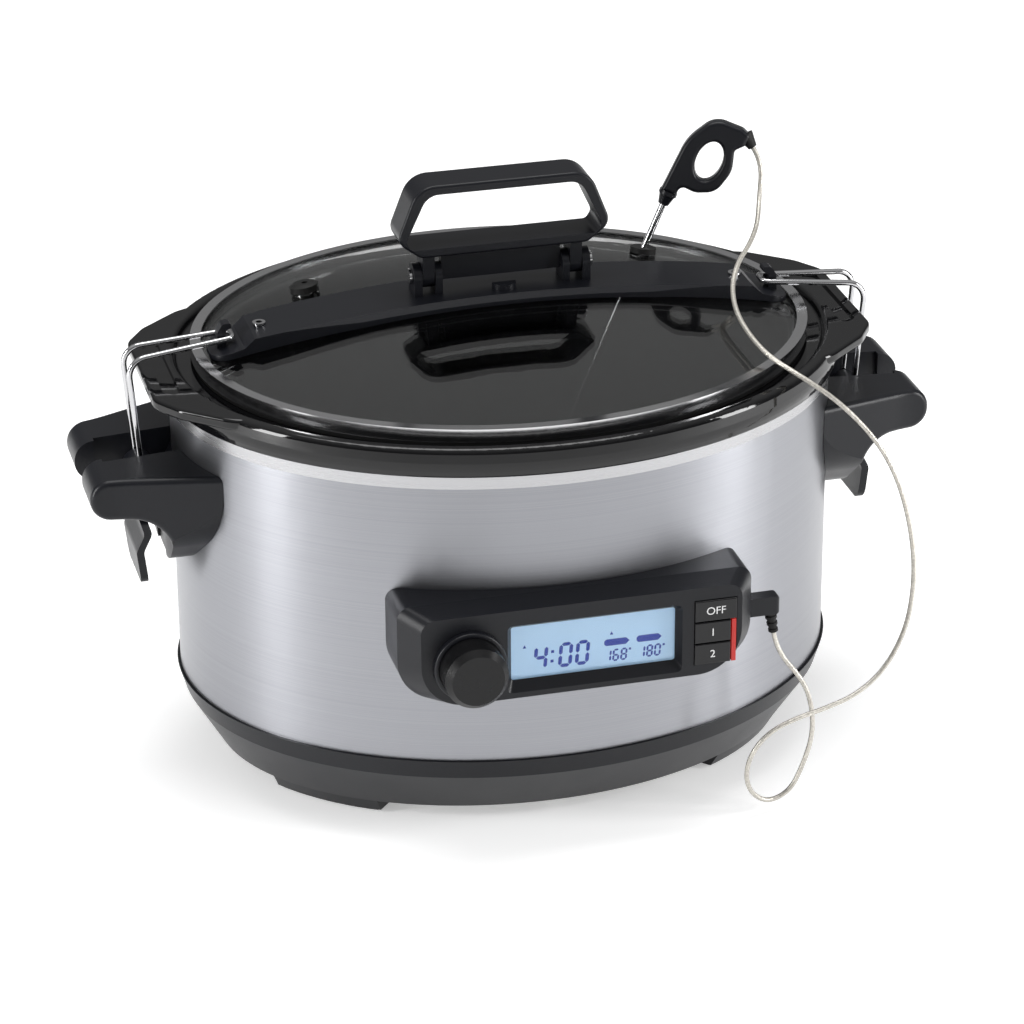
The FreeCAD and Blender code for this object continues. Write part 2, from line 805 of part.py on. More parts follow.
hook_near = V(wire_hook_x, -wire_hook_half, wire_hook_z)
hook_far = V(wire_hook_x, wire_hook_half, wire_hook_z)
wire_points = wire_leg_points(-1) + [hook_near, hook_far] + list(reversed(wire_leg_points(1)))
wire_path = rounded_edges(wire_points, [0, wire_corner_r, wire_hook_r, wire_hook_r, wire_corner_r, 0], False)
eyes = [Part.makeTorus(eye_r, wire_r, latch_axis + Y_AXIS * (side * wire_leg_half), Y_AXIS) for side in (-1, 1)]
bail = tube(wire_path, wire_r).multiFuse(eyes)
put("latch_wire_right", bail)
put("latch_wire_left", mirror_x(bail))

# Stoneware crock: an oval bowl with a wide rim, a ledge for the lid and a grip at each end
bowl_in_top = crock_outer_top_a - crock_wall
floor_z = crock_bottom_z + crock_floor
crock_section = [V(0, 0, crock_bottom_z), V(crock_outer_bottom_a, 0, crock_bottom_z),
                 V(crock_outer_top_a, 0, crock_flange_bottom_z),
                 V(crock_rim_a - crock_rim_foot, 0, crock_flange_bottom_z),
                 V(crock_rim_a, 0, crock_flange_bottom_z + crock_rim_bulge), V(crock_bead_out_a, 0, crock_bead_z),
                 V(crock_bead_in_a, 0, crock_bead_z), V(crock_bead_in_a - crock_bead_rise / 2, 0, crock_ledge_z),
                 V(bowl_in_top, 0, crock_ledge_z), V(crock_outer_bottom_a - crock_wall, 0, floor_z),
                 V(0, 0, floor_z)]
inner_corner_r = crock_corner_r - crock_wall / 2
crock_section_r = [0, crock_corner_r, 2.0, 1.5, 9.0, 3.0, 2.5, 1.5, 3.0, inner_corner_r, 0]
crock = oval_revolve(rounded_edges(crock_section, crock_section_r, True), crock_ratio)
grip_low_z = crock_bead_z - grip_thickness
grip_tip = grip_half_width - grip_corner
grip_root_x = crock_outer_bottom_a
grip_plan = [(grip_root_x, -grip_root_half_width), (crock_outer_top_a, -grip_root_half_width + grip_corner),
             (crock_rim_a, -grip_half_width - grip_corner / 2), (grip_reach, -grip_tip), (grip_reach, grip_tip),
             (crock_rim_a, grip_half_width + grip_corner / 2), (crock_outer_top_a, grip_root_half_width - grip_corner),
             (grip_root_x, grip_root_half_width)]
grip = prism_z(grip_plan, [0, 20, 14, 12, 12, 14, 20, 0], grip_low_z, crock_bead_z)
grip_rims = [edge for edge in grip.Edges if edge.BoundBox.ZLength < slip_gap
             and edge.CenterOfMass.x > grip_root_x + slip_gap]
grip = grip.makeFillet(grip_edge_r, grip_rims)
bead_mid_a = (crock_bead_in_a + crock_bead_out_a) / 2
grip = grip.cut(oval_plate(bead_mid_a, bead_mid_a * crock_ratio, 0, through))
recess = prism_z([(bead_mid_a, -grip_tip), (grip_reach - grip_edge, -grip_tip + grip_edge),
                  (grip_reach - grip_edge, grip_tip - grip_edge), (bead_mid_a, grip_tip)],
                 [3, 3, 3, 3], crock_bead_z - grip_recess, through)
crock = join([crock] + on_both_sides(grip))
put("crock", crock.cut(recess).cut(mirror_x(recess)))

# Glass lid in a steel rim, with a gasket under it
glass_a = rim_a - rim_wall - fit_gap
glass_b = rim_b - rim_wall - fit_gap
glass_ratio = glass_b / glass_a
dome_r = (glass_a ** 2 + glass_sag ** 2) / (2 * glass_sag)


def dome_edges(lift, low_z):
    """Half section of a cap whose crown is lifted by a given amount, closed at a flat bottom."""
    crown = glass_crown_z + lift
    middle_x = glass_a / 2
    middle_z = crown - dome_r + math.sqrt(dome_r ** 2 - middle_x ** 2)
    edge_z = crown - dome_r + math.sqrt(dome_r ** 2 - glass_a ** 2)
    return [Part.Arc(V(0, 0, crown), V(middle_x, 0, middle_z), V(glass_a, 0, edge_z)).toShape(),
            Part.LineSegment(V(glass_a, 0, edge_z), V(glass_a, 0, low_z)).toShape(),
            Part.LineSegment(V(glass_a, 0, low_z), V(0, 0, low_z)).toShape(),
            Part.LineSegment(V(0, 0, low_z), V(0, 0, crown)).toShape()]


def dome_z(x, y):
    """Height of the glass's upper face over a point."""
    return glass_crown_z - dome_r + math.sqrt(dome_r ** 2 - x ** 2 - (y / glass_ratio) ** 2)


dome_low_z = glass_edge_z - 3 * glass_thickness
dome = oval_revolve(dome_edges(0, dome_low_z), glass_ratio)
under = oval_revolve(dome_edges(-glass_thickness, dome_low_z - glass_thickness), glass_ratio)
probe_axis = V(math.sin(math.radians(probe_lean)), 0, math.cos(math.radians(probe_lean)))
probe_point = V(probe_x, probe_y, dome_z(probe_x, probe_y) + probe_seat)
glass = dome.cut(under)
probe_bore_r = grommet_neck_r + bore_gap
glass = glass.cut(rod(V(vent_x, vent_y, 0), V(vent_x, vent_y, through), grommet_neck_r + bore_gap))
probe_bore = 2 * grommet_tail
glass = glass.cut(rod(probe_point - probe_axis * probe_bore, probe_point + probe_axis * probe_bore, probe_bore_r))
strap_rivet_z = dome_z(strap_rivet_x, 0) + strap_rivet_rise
strap_step_z = dome_z(strap_step_x, 0) + strap_step_rise
rivet_neck_r = rivet_hole_r + rivet_wall
rivet_spots = [V(sx * strap_rivet_x, 0, strap_rivet_z) for sx in (-1, 1)]
for spot in rivet_spots:
    glass = glass.cut(rod(V(spot.x, 0, 0), spot, rivet_neck_r + bore_gap))
put("lid_glass", glass)

glass_low_z = glass_edge_z - glass_thickness
rim = oval_ring(rim_a, rim_b, rim_wall, rim_bottom_z, rim_top_z)
rim_top_lip = oval_ring(rim_a, rim_b, rim_lip_width, rim_top_z - rim_wall, rim_top_z)
put("lid_rim", join([rim, rim_top_lip]))

gasket_low_z = crock_ledge_z + slip_gap
put("lid_gasket", oval_ring(rim_a - rim_wall - slip_gap, rim_b - rim_wall - slip_gap, gasket_width, gasket_low_z,
                            glass_low_z - slip_gap))

# Bridge strap: an arched bar over the lid's long axis, with hooks, hinge lugs and a handle stop
bend_x = strap_rivet_x + strap_bend_run
bend_z = strap_rivet_z - strap_bend_drop
crown_edges = [
    Part.Arc(V(-bend_x, 0, bend_z), V(0, 0, strap_crown_z), V(bend_x, 0, bend_z)).toShape(),
    Part.LineSegment(V(bend_x, 0, bend_z), V(strap_step_x, 0, strap_step_z)).toShape(),
    Part.LineSegment(V(strap_step_x, 0, strap_step_z), V(strap_half_length, 0, strap_end_z)).toShape(),
    Part.LineSegment(V(strap_half_length, 0, strap_end_z), V(strap_half_length, 0, glass_low_z)).toShape(),
    Part.LineSegment(V(strap_half_length, 0, glass_low_z), V(-strap_half_length, 0, glass_low_z)).toShape(),
    Part.LineSegment(V(-strap_half_length, 0, glass_low_z), V(-strap_half_length, 0, strap_end_z)).toShape(),
    Part.LineSegment(V(-strap_half_length, 0, strap_end_z), V(-strap_step_x, 0, strap_step_z)).toShape(),
    Part.LineSegment(V(-strap_step_x, 0, strap_step_z), V(-bend_x, 0, bend_z)).toShape()]
strap_side = Part.Face(Part.Wire(crown_edges))
strap_side.translate(V(0, -strap_half_width, 0))
strap = strap_side.extrude(V(0, 2 * strap_half_width, 0))
crown_top = [edge for edge in strap.Edges if abs(edge.CenterOfMass.y) > strap_half_width - slip_gap
             and edge.BoundBox.ZMax > strap_crown_z - slip_gap]
strap = strap.makeChamfer(strap_bevel, crown_top)
strap_peak = 2 * strap_half_width - strap_end_half_width
strap_plan = prism_z([(-strap_half_length, -strap_end_half_width), (0, -strap_peak),
                      (strap_half_length, -strap_end_half_width), (strap_half_length, strap_end_half_width),
                      (0, strap_peak), (-strap_half_length, strap_end_half_width)],
                     [strap_end_r, through, strap_end_r, strap_end_r, through, strap_end_r], 0, through)
strap = strap.common(strap_plan)
lug_low_z = strap_crown_z - lug_root


def lug(x0, x1):
    plate = box(x0, x1, -lug_r, lug_r, lug_low_z, hinge_z)
    return plate.fuse(rod(V(x0, 0, hinge_z), V(x1, 0, hinge_z), lug_r))


ear_out = lug_outer_x - lug_thickness - fit_gap
ear_in = ear_out - ear_thickness
inner_lug_out = ear_in - fit_gap
inner_lug_in = inner_lug_out - inner_lug_thickness
lugs = [lug(lug_outer_x - lug_thickness, lug_outer_x), lug(inner_lug_in, inner_lug_out)]
hook_pairs = [(hook_x + out, hook_z + up) for out, up in hook_outline]
hook = prism_y(hook_pairs, [0, 2, 2, 0.8, 0.8, 1, 0], -post_half_width, post_half_width)
stop_y = -lug_r - stop_gap
stop = rod(V(0, stop_y, lug_low_z), V(0, stop_y, strap_crown_z + stop_height), stop_r)
stop = stop.common(box(-stop_r, stop_r, stop_y - stop_r, stop_y, 0, through))
strap = join([strap, stop] + lugs + [mirror_x(piece) for piece in lugs] + on_both_sides(hook))
strap = strap.cut(oval_revolve(dome_edges(fit_gap, dome_low_z), glass_ratio))
hinge_axis = V(0, 0, hinge_z)
strap = strap.cut(rod(V(-strap_half_length, 0, hinge_z), V(strap_half_length, 0, hinge_z), hinge_pin_r + slip_gap))
for spot in rivet_spots:
    strap = strap.cut(rod(V(spot.x, 0, 0), V(spot.x, 0, through), rivet_neck_r + bore_gap))
put("lid_strap", strap)


def rivet(spot):
    foot_z = dome_z(spot.x, 0) - glass_thickness - rivet_tail
    head_z = strap_rivet_z + rivet_seat
    body = rod(V(spot.x, 0, foot_z), V(spot.x, 0, head_z + rivet_rise), rivet_neck_r)
    body = body.fuse(rod(V(spot.x, 0, head_z), V(spot.x, 0, head_z + rivet_rise), rivet_r))
    body = body.fuse(rod(V(spot.x, 0, foot_z - rivet_wall), V(spot.x, 0, foot_z), rivet_foot_r))
    return body.cut(rod(V(spot.x, 0, 0), V(spot.x, 0, through), rivet_hole_r))


put("strap_rivets", group([rivet(spot) for spot in rivet_spots]))

# Grommets in the glass: a vent button and the probe's seal
vent_top_z = dome_z(vent_x, vent_y)
vent_low_z = vent_top_z - glass_thickness
vent_seat = V(vent_x, vent_y, vent_top_z)
vent_tilt = V(vent_x / dome_r, vent_y / dome_r / glass_ratio ** 2, 1).normalize()
vent_brim = vent_seat + vent_tilt * (grommet_rise + fit_gap)
vent = rod(V(vent_x, vent_y, vent_low_z - grommet_rise), vent_seat + Z_AXIS * (grommet_rise / 2), grommet_neck_r)
vent = vent.multiFuse([
    rod(vent_seat + vent_tilt * fit_gap, vent_brim, vent_r),
    cone(vent_brim, vent_brim + vent_tilt * (vent_bevel / 2), vent_r, vent_r - vent_bevel),
    cone(V(vent_x, vent_y, vent_low_z - vent_tail), V(vent_x, vent_y, vent_low_z - grommet_rise / 2),
         grommet_neck_r, grommet_r)])
put("vent_grommet", vent.cut(rod(V(vent_x, vent_y, 0), V(vent_x, vent_y, through), vent_hole_r)))

seal = rod(probe_point - probe_axis * grommet_tail, probe_point, grommet_neck_r)
seal_tilt = V(probe_x / dome_r, probe_y / dome_r / glass_ratio ** 2, 1).normalize()
seal_seat = V(probe_x, probe_y, dome_z(probe_x, probe_y))
seal = seal.fuse(rod(seal_seat + seal_tilt * fit_gap, seal_seat + seal_tilt * grommet_rise, grommet_r))
put("probe_grommet", seal.cut(rod(probe_point - probe_axis * probe_bore, probe_point + probe_axis * probe_bore,
                                  probe_rod_r + slip_gap)))

# Lid handle: a deep band bent into a loop, with two ears on the hinge pins
loop_outer = [(-loop_bottom_half, loop_bottom_z), (-loop_wide_half, loop_shoulder_z), (-loop_top_half, loop_top_z),
              (loop_top_half, loop_top_z), (loop_wide_half, loop_shoulder_z), (loop_bottom_half, loop_bottom_z)]
inner_wide = loop_wide_half - loop_wall
inner_top = loop_top_half - loop_wall
inner_bottom = loop_bottom_half + loop_wall
loop_inner = [(-inner_bottom, loop_bottom_z + loop_wall), (-inner_wide, loop_shoulder_z),
              (-inner_top, loop_top_z - loop_wall), (inner_top, loop_top_z - loop_wall),
              (inner_wide, loop_shoulder_z), (inner_bottom, loop_bottom_z + loop_wall)]
half_depth = loop_depth / 2
loop = prism_y(loop_outer, [6, 7, 13, 13, 7, 6], -half_depth, half_depth)
loop_rims = [edge for edge in loop.Edges if abs(abs(edge.CenterOfMass.y) - half_depth) < 0.01]
loop = loop.makeFillet(loop_edge_r, loop_rims)
loop = loop.cut(prism_y(loop_inner, [3, 4, 9, 9, 4, 3], -loop_depth, loop_depth))
ear_r = lug_r - ear_round
ear_box = box(ear_in, ear_out, -ear_r, ear_r, hinge_z, loop_bottom_z + web_lap)
ear = ear_box.fuse(rod(V(ear_in, 0, hinge_z), V(ear_out, 0, hinge_z), ear_r))
web = box(-inner_lug_in + fit_gap, inner_lug_in - fit_gap, -web_thickness / 2, web_thickness / 2,
          hinge_z - web_drop, loop_bottom_z + web_lap)
ear = ear.cut(rod(hinge_axis, V(lug_outer_x, 0, hinge_z), hinge_pin_r + slip_gap))
put("lid_handle", join([loop, web, ear, mirror_x(ear)]))
hinge_pin = rod(V(inner_lug_in, 0, hinge_z), V(lug_outer_x + fit_gap, 0, hinge_z), hinge_pin_r)
hinge_pin_end = lug_outer_x + fit_gap
hinge_pin = hinge_pin.fuse(rod(V(hinge_pin_end, 0, hinge_z), V(hinge_pin_end + hinge_head, 0, hinge_z), hinge_head_r))
put("handle_hinge_pins", group(on_both_sides(hinge_pin)))

# Control panel housing on the front of the wrap


def panel_wire(inset, y):
    half = panel_half - inset * (panel_bevel / panel_edge)
    low = panel_low_z + inset
    high = panel_high_z - inset
    pairs = [(-half, low), (half, low), (half, high), (-half, high)]
    return Part.Wire(rounded_edges([V(x, y, z) for x, z in pairs],
                                   [panel_low_r, panel_low_r, panel_high_r, panel_high_r], True))


housing_back = Part.Face(panel_wire(0, panel_shoulder_y)).extrude(V(0, body_b, 0))
housing_front = Part.makeLoft([panel_wire(0, panel_shoulder_y), panel_wire(panel_edge, panel_face_y)], True, True)
housing = housing_back.fuse(housing_front)
wall_y = panel_face_y + panel_wall
socket_y = panel_face_y + socket_in
socket_z = panel_low_z + socket_rise
room_half = panel_half - panel_end_wall
room_low_z = panel_low_z + panel_low_wall
room_high_z = panel_high_z - panel_high_wall
housing = housing.cut(prism_y([(-room_half, room_low_z), (room_half, room_low_z), (room_half, room_high_z),
                               (-room_half, room_high_z)], [14, 14, 3, 3], wall_y, 0))
housing = housing.cut(box(room_half - slip_gap, panel_half - panel_wall, panel_shoulder_y + window_thickness, 0,
                          socket_z - socket_room, socket_z + socket_room))
window_y = panel_face_y + display_recess
display_z0 = panel_low_z + display_rise
display_z1 = display_z0 + display_height
mouth_x0 = display_x0 - display_frame
mouth_x1 = display_x1 + display_frame
mouth_z0 = display_z0 - display_ledge
mouth_z1 = display_z1 + display_frame
housing = housing.fuse(box(mouth_x0 - window_lap, mouth_x1 + window_lap, wall_y - slip_gap, window_y,
                           mouth_z0 - window_lap, mouth_z1 + window_lap))


def display_wire(x0, x1, z0, z1, y, r):
    pairs = [(x0, z0), (x1, z0), (x1, z1), (x0, z1)]
    return Part.Wire(rounded_edges([V(x, y, z) for x, z in pairs], [r] * len(pairs), True))


mouth = Part.makeLoft([
    display_wire(mouth_x0, mouth_x1, mouth_z0, mouth_z1, panel_face_y, display_corner_r),
    display_wire(display_x0, display_x1, display_z0, display_z1, window_y, window_corner_r)], True, True)
housing = housing.cut(mouth)
button_low_z = panel_low_z + button_rise_z
button_high_z = button_low_z + 2 * button_pitch + button_height
housing = housing.cut(box(button_x0 - fit_gap, button_x1 + fit_gap, 2 * panel_face_y, window_y + button_depth,
                          button_low_z - fit_gap, button_high_z + fit_gap))
knob_z = panel_low_z + knob_rise
knob_axis = V(knob_x, 0, knob_z)
housing = housing.cut(rod(knob_axis + Y_AXIS * (2 * panel_face_y), knob_axis + Y_AXIS * window_y, shaft_r + fit_gap))
socket_axis = V(0, socket_y, socket_z)
housing = housing.cut(rod(socket_axis + X_AXIS * room_half, socket_axis + X_AXIS * (2 * panel_half),
                          socket_neck_r + bore_gap))
boss_y = panel_shoulder_y + panel_boss_in
boss_end_y = boss_y + body_b / 4
bosses = [rod(V(sx * panel_screw_x, boss_y, panel_mid_z), V(sx * panel_screw_x, boss_end_y, panel_mid_z), panel_boss_r)
          for sx in (-1, 1)]
rib_half = panel_rib / 2
rib_x0 = panel_screw_x - rib_half
rib_x1 = room_half + panel_rib
rib_z = socket_z + socket_room + rib_half
ribs = [box(-rib_x1, -rib_x0, boss_y, boss_end_y, panel_mid_z - rib_half, panel_mid_z + rib_half),
        box(rib_x0, rib_x1, boss_y, boss_end_y, rib_z, rib_z + panel_rib),
        box(rib_x0, panel_screw_x + rib_half, boss_y, boss_end_y, panel_mid_z, room_high_z + panel_rib / 2)]
housing = housing.multiFuse(bosses + ribs)
housing = housing.cut(oval_plate(body_a + slip_gap, body_b + slip_gap, 0, through))
for sx in (-1, 1):
    housing = housing.cut(rod(V(sx * panel_screw_x, 0, panel_mid_z),
                              V(sx * panel_screw_x, boss_y + panel_boss_in, panel_mid_z), panel_screw_r + bore_gap))
put("control_housing", housing)

window = box(display_x0 - window_lap, display_x1 + window_lap, window_y, window_y + window_thickness,
             display_z0 - window_lap, display_z1 + window_lap)
put("display_window", window)
lcd_y = window_y + window_thickness + slip_gap
put("lcd_module", box(display_x0 - lcd_lap, display_x1 + lcd_lap, lcd_y, lcd_y + lcd_thickness,
                      display_z0 - lcd_lap, display_z1 + lcd_lap))
board_y = lcd_y + lcd_thickness + slip_gap
board_back_y = board_y + board_thickness
control_board = box(-control_board_half, control_board_half, board_y, board_back_y, panel_low_z + control_board_low,
                    panel_high_z - control_board_high)
for sx in (-1, 1):
    control_board = control_board.cut(box(sx * panel_screw_x - control_board_notch, sx * panel_screw_x + control_board_notch,
                                          panel_face_y, 0, panel_mid_z - control_board_notch,
                                          panel_mid_z + control_board_notch))
put("control_board", control_board)
screw_seat_y = -body_b * math.sqrt(1 - (panel_screw_x / body_a) ** 2) + steel_thickness + panel_screw_seat
put("panel_screws", group([screw(V(sx * panel_screw_x, screw_seat_y, panel_mid_z), V(0, -1, 0), panel_screw_r,
                                 panel_screw_length, panel_screw_head_r, panel_screw_head) for sx in (-1, 1)]))

encoder_y = board_y - encoder_depth - slip_gap
encoder = box(knob_x - encoder_half, knob_x + encoder_half, encoder_y, board_y - slip_gap,
              knob_z - encoder_half, knob_z + encoder_half)
shaft_tip = knob_axis + Y_AXIS * (panel_face_y - shaft_length)
encoder = encoder.fuse(rod(knob_axis + Y_AXIS * encoder_y, shaft_tip, shaft_r))
put("knob_encoder", encoder)
ring_seat = knob_axis + Y_AXIS * panel_face_y
knob_ring = rod(ring_seat, ring_seat - Y_AXIS * knob_ring_height, knob_ring_r)
ring_front = [edge for edge in knob_ring.Edges if edge.CenterOfMass.y < panel_face_y - knob_ring_height + slip_gap
              and len(edge.Vertexes) == 1]
knob_ring = knob_ring.makeFillet(knob_ring_edge, ring_front)
knob_ring = knob_ring.cut(rod(ring_seat, ring_seat - Y_AXIS * knob_height, knob_r + fit_gap))
put("knob_ring", knob_ring)
knob_back = knob_axis + Y_AXIS * (panel_face_y - fit_gap)
knob_front = V(knob_x, knob_face_y, knob_z)
knob_shoulder = knob_front + Y_AXIS * knob_taper
knob = rod(knob_back, knob_shoulder, knob_r).fuse(cone(knob_shoulder, knob_front, knob_r, knob_face_r))
knob = knob.cut(rod(knob_axis, shaft_tip - Y_AXIS * fit_gap, shaft_r + slip_gap))
put("knob", knob)

# Three push buttons, their switches and the red light strip
button_face_y = panel_face_y - button_rise
button_back_y = button_face_y + button_depth
button_names = ["button_bottom", "button_middle", "button_top"]
switches = []
for i, name in enumerate(button_names):
    low_z = button_low_z + i * button_pitch
    right = button_x1 if i == 2 else button_x1 - light_width - 2 * fit_gap
    cap = box(button_x0, right, button_face_y, button_back_y, low_z, low_z + button_height)
    front = [edge for edge in cap.Edges if edge.CenterOfMass.y < button_face_y + slip_gap]
    put(name, cap.makeFillet(button_edge_r, front))
    centre = V((button_x0 + right) / 2, 0, low_z + button_height / 2)
    plunger_y = button_back_y + button_travel + switch_gap
    switch = box(centre.x - switch_half, centre.x + switch_half, plunger_y + switch_drop, board_y - slip_gap,
                 centre.z - switch_half, centre.z + switch_half)
    switches.append(switch.fuse(rod(centre + Y_AXIS * (board_y - switch_drop), centre + Y_AXIS * plunger_y, plunger_r)))
put("tact_switches", group(switches))
light_high_z = button_low_z + button_pitch + button_height
put("light_strip", box(button_x1 - light_width, button_x1 - slip_gap, panel_face_y - light_proud, wall_y + light_depth,
                       button_low_z, light_high_z))

# Probe socket in the panel's right end
socket_out = socket_axis + X_AXIS * (panel_half + socket_ring)
socket_back_x = panel_half - panel_wall
socket = box(socket_back_x - socket_depth, socket_back_x - slip_gap, socket_y - socket_half, socket_y + socket_half,
             socket_z - socket_half, socket_z + socket_half)
socket = socket.multiFuse([
    rod(socket_axis + X_AXIS * (socket_back_x - socket_ring), socket_out, socket_neck_r),
    rod(socket_axis + X_AXIS * (panel_half + slip_gap), socket_out, socket_ring_r)])
socket = socket.cut(rod(socket_out, socket_out - X_AXIS * (jack_length + socket_ring), jack_r + slip_gap))
put("probe_socket", socket)

# Right-angle plug: the pin lies in the socket, and the lead leaves downwards through a ribbed boot
plug_start = socket_out.x + fit_gap
plug_block = box(plug_start, plug_start + plug_length, socket_y - plug_half, socket_y + plug_half,
                 socket_z - plug_drop, socket_z + plug_half)
plug_rims = [edge for edge in plug_block.Edges if edge.CenterOfMass.x > plug_start + plug_length - slip_gap]
plug_block = plug_block.makeFillet(plug_edge_r, plug_rims)
put("plug_body", plug_block)
jack_tip = socket_axis + X_AXIS * (socket_out.x - jack_length + socket_ring)
jack_shoulder = jack_tip + X_AXIS * jack_taper
jack = rod(jack_shoulder, socket_axis + X_AXIS * plug_start, jack_r)
put("plug_pin", jack.fuse(cone(jack_tip, jack_shoulder, jack_tip_r, jack_r)))
plug_way = V(math.sin(math.radians(plug_boot_lean)), 0, -math.cos(math.radians(plug_boot_lean)))
plug_boot_top = V(plug_start + plug_length - plug_boot_inset, socket_y, socket_z - plug_drop)
plug_boot_low = plug_boot_top + plug_way * plug_boot_length
plug_boot = cone(plug_boot_low, plug_boot_top - plug_way * plug_boot_lap, plug_boot_end_r, plug_boot_r)
for i in range(plug_rib_count):
    share = (i + plug_rib_half) / plug_rib_count
    rib_at = plug_boot_top + plug_way * (plug_boot_length * share)
    rib_r = plug_boot_r + (plug_boot_end_r - plug_boot_r) * share + plug_rib_rise
    plug_boot = plug_boot.fuse(rod(rib_at - plug_way * plug_rib_half, rib_at + plug_way * plug_rib_half, rib_r))
plug_boot = plug_boot.cut(plug_block)
put("plug_boot", plug_boot)

# Temperature probe: a steel rod, a moulded ring handle and a boot for the lead
rod_foot = probe_point - probe_axis * probe_below
rod_head = probe_point + probe_axis * (probe_above + cap_length + probe_rod_grip)
cap_start = probe_point + probe_axis * probe_above
probe_rod = rod(rod_foot + probe_axis * probe_tip, rod_head, probe_rod_r)
put("probe_rod", probe_rod.fuse(cone(rod_foot, rod_foot + probe_axis * probe_tip, probe_tip_r, probe_rod_r)))
face_turn = math.radians(probe_face_turn)
across = V(math.cos(math.radians(probe_lean)), 0, -math.sin(math.radians(probe_lean)))
out = across * math.cos(face_turn) - Y_AXIS * math.sin(face_turn)
face_normal = probe_axis.cross(out)


def on_probe(up, along_out):
    return cap_start + probe_axis * up + out * along_out


def probe_slab(edges, thickness):
    face = Part.Face(Part.Wire(edges))
    face.translate(face_normal * (-thickness / 2))
    return face.extrude(face_normal * thickness)


collar_start = cap_length + collar_gap
grip_start = collar_start + collar_length
grip_outline = [(grip_start, -neck_half)] + ring_outline + [(ring_neck_up, neck_half), (grip_start, neck_half)]
grip_radii = [0] + ring_outline_r + [ring_neck_r, 0]
grip_handle = probe_slab(rounded_edges([on_probe(u, o) for u, o in grip_outline], grip_radii, True), ring_thickness)
hole_edge = Part.Ellipse(on_probe(ring_centre_up + ring_hole_up, ring_centre_out),
                         on_probe(ring_centre_up, ring_centre_out + ring_hole_out),
                         on_probe(ring_centre_up, ring_centre_out)).toShape()
grip_handle = grip_handle.cut(probe_slab([hole_edge], 2 * ring_thickness))
flat_rims = [edge for edge in grip_handle.Edges
             if abs((edge.CenterOfMass - cap_start).dot(face_normal)) > ring_thickness / 2 - slip_gap]
grip_handle = grip_handle.makeFillet(ring_edge_r, flat_rims)
grip_handle = grip_handle.multiFuse([
    cone(cap_start, on_probe(cap_length, 0), cap_low_r, cap_high_r),
    rod(on_probe(cap_length, 0), on_probe(grip_start + 2 * collar_length, 0), stem_r),
    rod(on_probe(collar_start, 0), on_probe(grip_start + collar_gap, 0), collar_r)])
grip_handle = grip_handle.cut(rod(rod_foot, rod_head, probe_rod_r))
put("probe_handle", grip_handle)
boot_start = on_probe(boot_start_up, boot_start_out)
boot_end = on_probe(boot_start_up - boot_drop, boot_end_out)
boot = cone(boot_start, boot_end, boot_r, boot_end_r)
put("probe_boot", boot.cut(grip_handle))

# Probe cord: it hangs over the lid's right end and in front of the body, then loops up to the plug
cord_exit = (boot_end - boot_start).normalize()
cord_split = V(144.7, -114.5, 198.95)
upper_route = [boot_end, boot_end + cord_exit * cord_first_run, V(143.8, 31.5, 256.8), V(138.0, 16.0, 249.0),
               V(129.2, 1.0, 245.0), V(118.2, -14.0, 242.4), V(110.6, -28.0, 236.5), V(106.0, -48.0, 231.6),
               V(106.6, -68.0, 226.8), V(110.5, -88.0, 222.6), V(122.0, -103.0, 217.2), V(136.9, -112.0, 207.2),
               cord_split]
lower_route = [V(152.5, -117.0, 190.7), V(163.0, -121.0, 173.7), V(170.0, -124.0, 152.8),
               V(173.8, -127.0, 129.6), V(173.4, -130.0, 109.3), V(169.0, -133.0, 89.5), V(158.1, -136.0, 71.5),
               V(142.6, -140.0, 61.5), V(125.5, -143.5, 58.0), V(108.5, -147.0, 56.5), V(95.0, -148.0, 51.5),
               V(86.8, -147.0, 41.0), V(84.6, -144.0, 28.0), V(88.5, -140.0, 14.5), V(99.0, -136.5, 5.5),
               V(111.0, -135.0, 9.5), V(117.0, -135.5, 23.0), V(121.5, -136.0, 39.0), V(121.0, -136.0, 55.0),
               V(116.5, -134.5, 70.0)]


def cord_radii(points):
    radii = [0.0] * len(points)
    for i in range(1, len(points) - 1):
        back = points[i - 1] - points[i]
        on = points[i + 1] - points[i]
        half_turn = (math.pi - back.getAngle(on)) / 2.0
        radii[i] = cord_bend_share * min(back.Length, on.Length) / math.tan(half_turn)
    return radii


def cord_tube(name, points):
    radii = cord_radii(points)
    edges = rounded_edges(points, radii, False)
    shape = tube(edges, cord_r)
    length = sum(edge.Length for edge in edges)
    share = shape.Volume / (math.pi * cord_r ** 2 * length)
    runs = [round((points[i + 1] - points[i]).Length, 1) for i in range(len(points) - 1)]
    print(name, "length", round(length, 1), "volume share", round(share, 4), "least radius",
          round(min(radii[1:-1]), 1), "radii", [round(r) for r in radii[1:-1]], "runs", runs)
    return shape


split_way = (cord_split - upper_route[-2]).normalize()
plug_lead_end = plug_boot_low + plug_way * cord_end_gap
lower_route = [cord_split + split_way * cord_end_gap] + lower_route
lower_route = lower_route + [plug_lead_end + plug_way * cord_last_run, plug_lead_end]
put("probe_cord_upper", cord_tube("probe_cord_upper", upper_route))
put("probe_cord_lower", cord_tube("probe_cord_lower", lower_route))

os.makedirs("parts", exist_ok=True)
for name, shape in nodes.items():
    shape.translate(V(0, y_shift, 0))
    shape.exportStep("parts/" + name + ".step")
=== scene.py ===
import math

import bpy
from mathutils import Matrix, Vector


